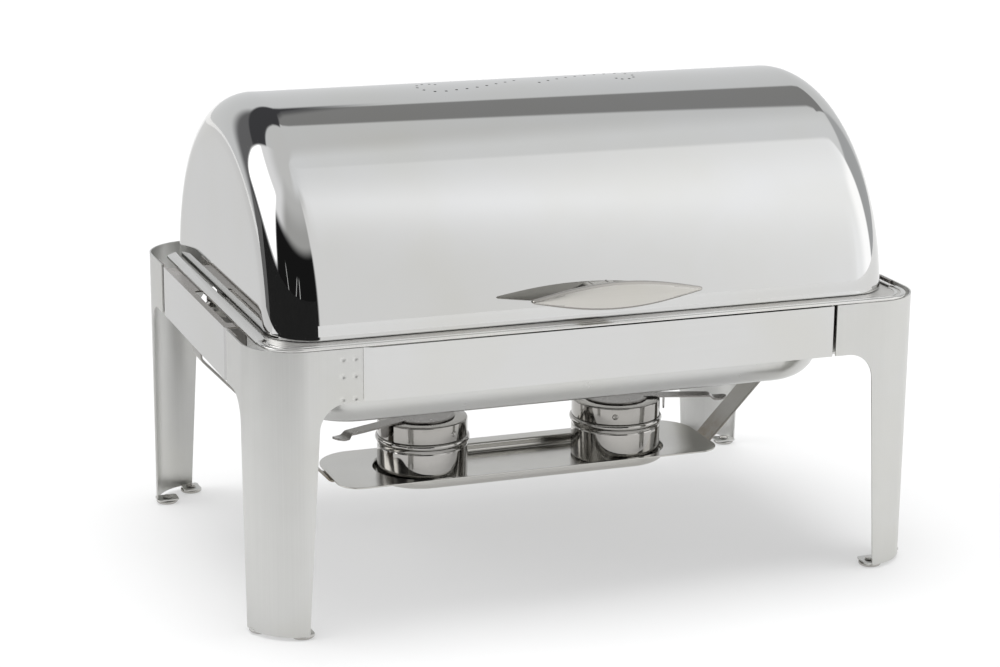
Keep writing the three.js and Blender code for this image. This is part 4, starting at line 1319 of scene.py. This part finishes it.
BOSS = (  # radius and height over the wall, in mm
    (3.2, -0.5), (3.0, 0.1), (2.5, 0.75), (1.9, 1.0), (1.3, 0.8), (0.7, 0.3), (0.1, 0.2),
)


def dimple_cup(centre, wall, angle, height):
    """A shallow pressed boss on the cap's wall, with a sunk middle."""
    rings = []
    axis = Vector((math.cos(angle), math.sin(angle), 0))
    side = Vector((-math.sin(angle), math.cos(angle), 0))
    for radius, lift in BOSS:
        ring = []
        for k in range(32):
            a = 2 * math.pi * k / 32
            spot = side * (radius * MM * math.cos(a)) + Vector((0, 0, radius * MM * math.sin(a)))
            ring.append(Vector((centre.x, centre.y, height)) + axis * (wall - 0.25 * MM + lift * MM) + spot)
        rings.append(ring)
    return loft(rings)


DISC = 31 * MM
DAMPER_SHEET = 1.2 * MM


def make_damper(side, lever):
    """A disc over the flame hole with an eye for its rivet, a bent lever and a tab that hangs down."""
    node = f"damper_{side}"
    centre = centre_of(f"cup_body_{side}")
    cap_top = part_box(f"cup_cap_{side}")[1].z
    bottom = cap_top + GAP - centre.z
    top = bottom + DAMPER_SHEET
    turn = Matrix.Rotation(lever, 3, "Z")

    def place(p):
        return turn @ Vector(p) + centre

    disc = filleted(
        [(0, bottom), (DISC, bottom), (DISC, top), (DISC - 4 * MM, top),
         (DISC - 5 * MM, top - 0.4 * MM), (0, top - 0.4 * MM)],
        [0, 0.2 * MM, 0.5 * MM, 0.4 * MM, 0.4 * MM, 0], 4)
    shells = [lathe(disc, centre, 96), eye_shell(place, bottom, top), tab_shell(place, bottom, top)]
    blade = mesh_of("blade", [lever_shell(place, bottom)])
    mesh = joined(f"{node}_plate", [mesh_of("disc", shells, 40), blade])
    # the damper's steel carries painted shade: a base colour darkened to stand in for dark reflections
    piece = finished(f"{node}_plate", mesh, node, PAINTED_SHADE_DAMPER, [node])
    soften(piece, 0.2 * MM)


def eye_shell(place, bottom, top):
    """The ear that the damper swings on, behind the disc."""
    eye, reach, root = 5 * MM, 37 * MM, 20 * MM
    outline = arc_points((-reach, 0), eye, 90, 270, 26)
    outline += [Vector((-root, y)) for y in (-eye, 0, eye)]
    return loft([[place((p.x, p.y, z)) for p in outline] for z in (bottom, top - 0.1 * MM)])


def lever_shell(place, bottom):
    """The flat lever: it leaves the disc level, dips near its end and turns up at the tip."""
    root, tip, half = 27 * MM, 109 * MM, 7.5 * MM
    dip = 3.2 * MM
    thick = 1.6 * MM
    back_from_tip = (28, 19, 17, 16, 15, 14, 13, 11, 8, 6, 4.5, 3, 2, 1.2, 0.6, 0.2, 0)
    stations = [root, root + 20 * MM] + [tip - back * MM for back in back_from_tip]
    rings = []
    for x in stations:
        fall = max(0.0, min(1.0, (x - (tip - 17.5 * MM)) / (5 * MM)))
        lift = max(0.0, (x - (tip - 7 * MM)) / (7 * MM)) * 1.5 * MM
        z = bottom - dip * (3 * fall ** 2 - 2 * fall ** 3) + lift
        near = min(1.0, (tip - x) / half)
        wide = max(0.4 * MM, half * math.sqrt(max(0.0, 1 - (1 - near) ** 2)))
        waist = 1 - 0.18 * math.exp(-((x - (tip - 16 * MM)) / (2.6 * MM)) ** 2)
        wide *= waist
        ring = []
        for k in range(13):
            y = -wide + 2 * wide * k / 12
            ring.append(place((x, y, z + 0.35 * MM * (1 - (y / wide) ** 2) * fall)))
        for k in range(13):
            y = wide - 2 * wide * k / 12
            ring.append(place((x, y, z + thick + 0.35 * MM * (1 - (y / wide) ** 2) * fall)))
        rings.append(ring)
    return loft(rings)


def tab_shell(place, bottom, top):
    """The rounded tab that hangs just outside the cap's wall."""
    half, drop, inner, thick = 5 * MM, 8 * MM, 46.5 * MM, 1.2 * MM
    outline = [Vector((half, top)), Vector((half, bottom - drop))]
    outline += arc_points((0, bottom - drop), half, 0, -180, 16)
    outline += [Vector((-half, bottom - drop)), Vector((-half, top))]
    rings = []
    for x in (inner, inner + thick):
        rings.append([place((x, p.x, p.y)) for p in outline])
    return loft(rings)


def make_rivet(side):
    node = f"damper_rivet_{side}"
    low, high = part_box(node)
    centre = ((low.x + high.x) / 2, (low.y + high.y) / 2, low.z)
    height = high.z - low.z
    profile = filleted(
        [(0, 0), (3 * MM, 0), (3 * MM, 1.4 * MM), (2 * MM, 1.4 * MM), (2 * MM, height - 1.7 * MM),
         (3.6 * MM, height - 1.7 * MM), (3.2 * MM, height - 0.5 * MM), (0, height)],
        [0, 0.4 * MM, 0.2 * MM, 0, 0, 0.3 * MM, 0.8 * MM, 0], 4)
    shells = [lathe(profile, centre, 40)]
    finished(node + "_head", shells, f"cap_{side}", FASTENER, [node])


# ---------------------------------------------------------------- small pieces kept from the CAD

def finish_cad_node(node, material):
    piece = frame["nodes"][node]
    piece.data.materials.clear()
    piece.data.materials.append(material)
    soften(piece)


# ---------------------------------------------------------------- the whole scene

def lever_angle(side):
    """The way a damper's lever points, seen from above: from its rivet through the cup's middle."""
    rivet = centre_of(f"damper_rivet_{side}")
    middle = centre_of(f"cup_body_{side}")
    return math.atan2(middle.y - rivet.y, middle.x - rivet.x)


def make_object():
    for end, sign_y in ENDS:
        make_end_rail(end, sign_y)
        for side, sign_x in SIDES:
            make_leg(end, sign_y, side, sign_x)
            for letter in "ab":
                make_glide(f"glide_{end}_{side}_{letter}")
    make_tray()
    make_water_pan()
    make_food_pan()
    make_lid()
    make_handle()
    make_bracket()
    for side, sign_x in SIDES:
        make_side_rail(side, sign_x)
        make_tray_strap(side, sign_x)
        make_rim_strip(side, sign_x)
        make_shade_flap(side, sign_x)
        make_pivot_nut(side, sign_x)
        lever = lever_angle(side)
        make_cup(side)
        make_cap(side)
        make_damper(side, lever)
        make_rivet(side)
        finish_cad_node(f"hinge_plate_{side}", SATIN)
        finish_cad_node(f"lid_ear_{side}", SATIN)
        finish_cad_node(f"pivot_bolt_{side}", FASTENER)
        finish_cad_node(f"pivot_spacer_{side}", FASTENER)
        finish_cad_node(f"handle_screw_{side}", FASTENER)


def write_sizes():
    corners = {"cad": cad_box, "visual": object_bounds()}
    sizes = {name: [list(low), list(high)] for name, (low, high) in corners.items()}


make_camera()
make_studio()
make_floor()
make_cards()
make_overhead_light()
bpy.context.scene.view_settings.view_transform = "Standard"
make_object()
write_sizes()
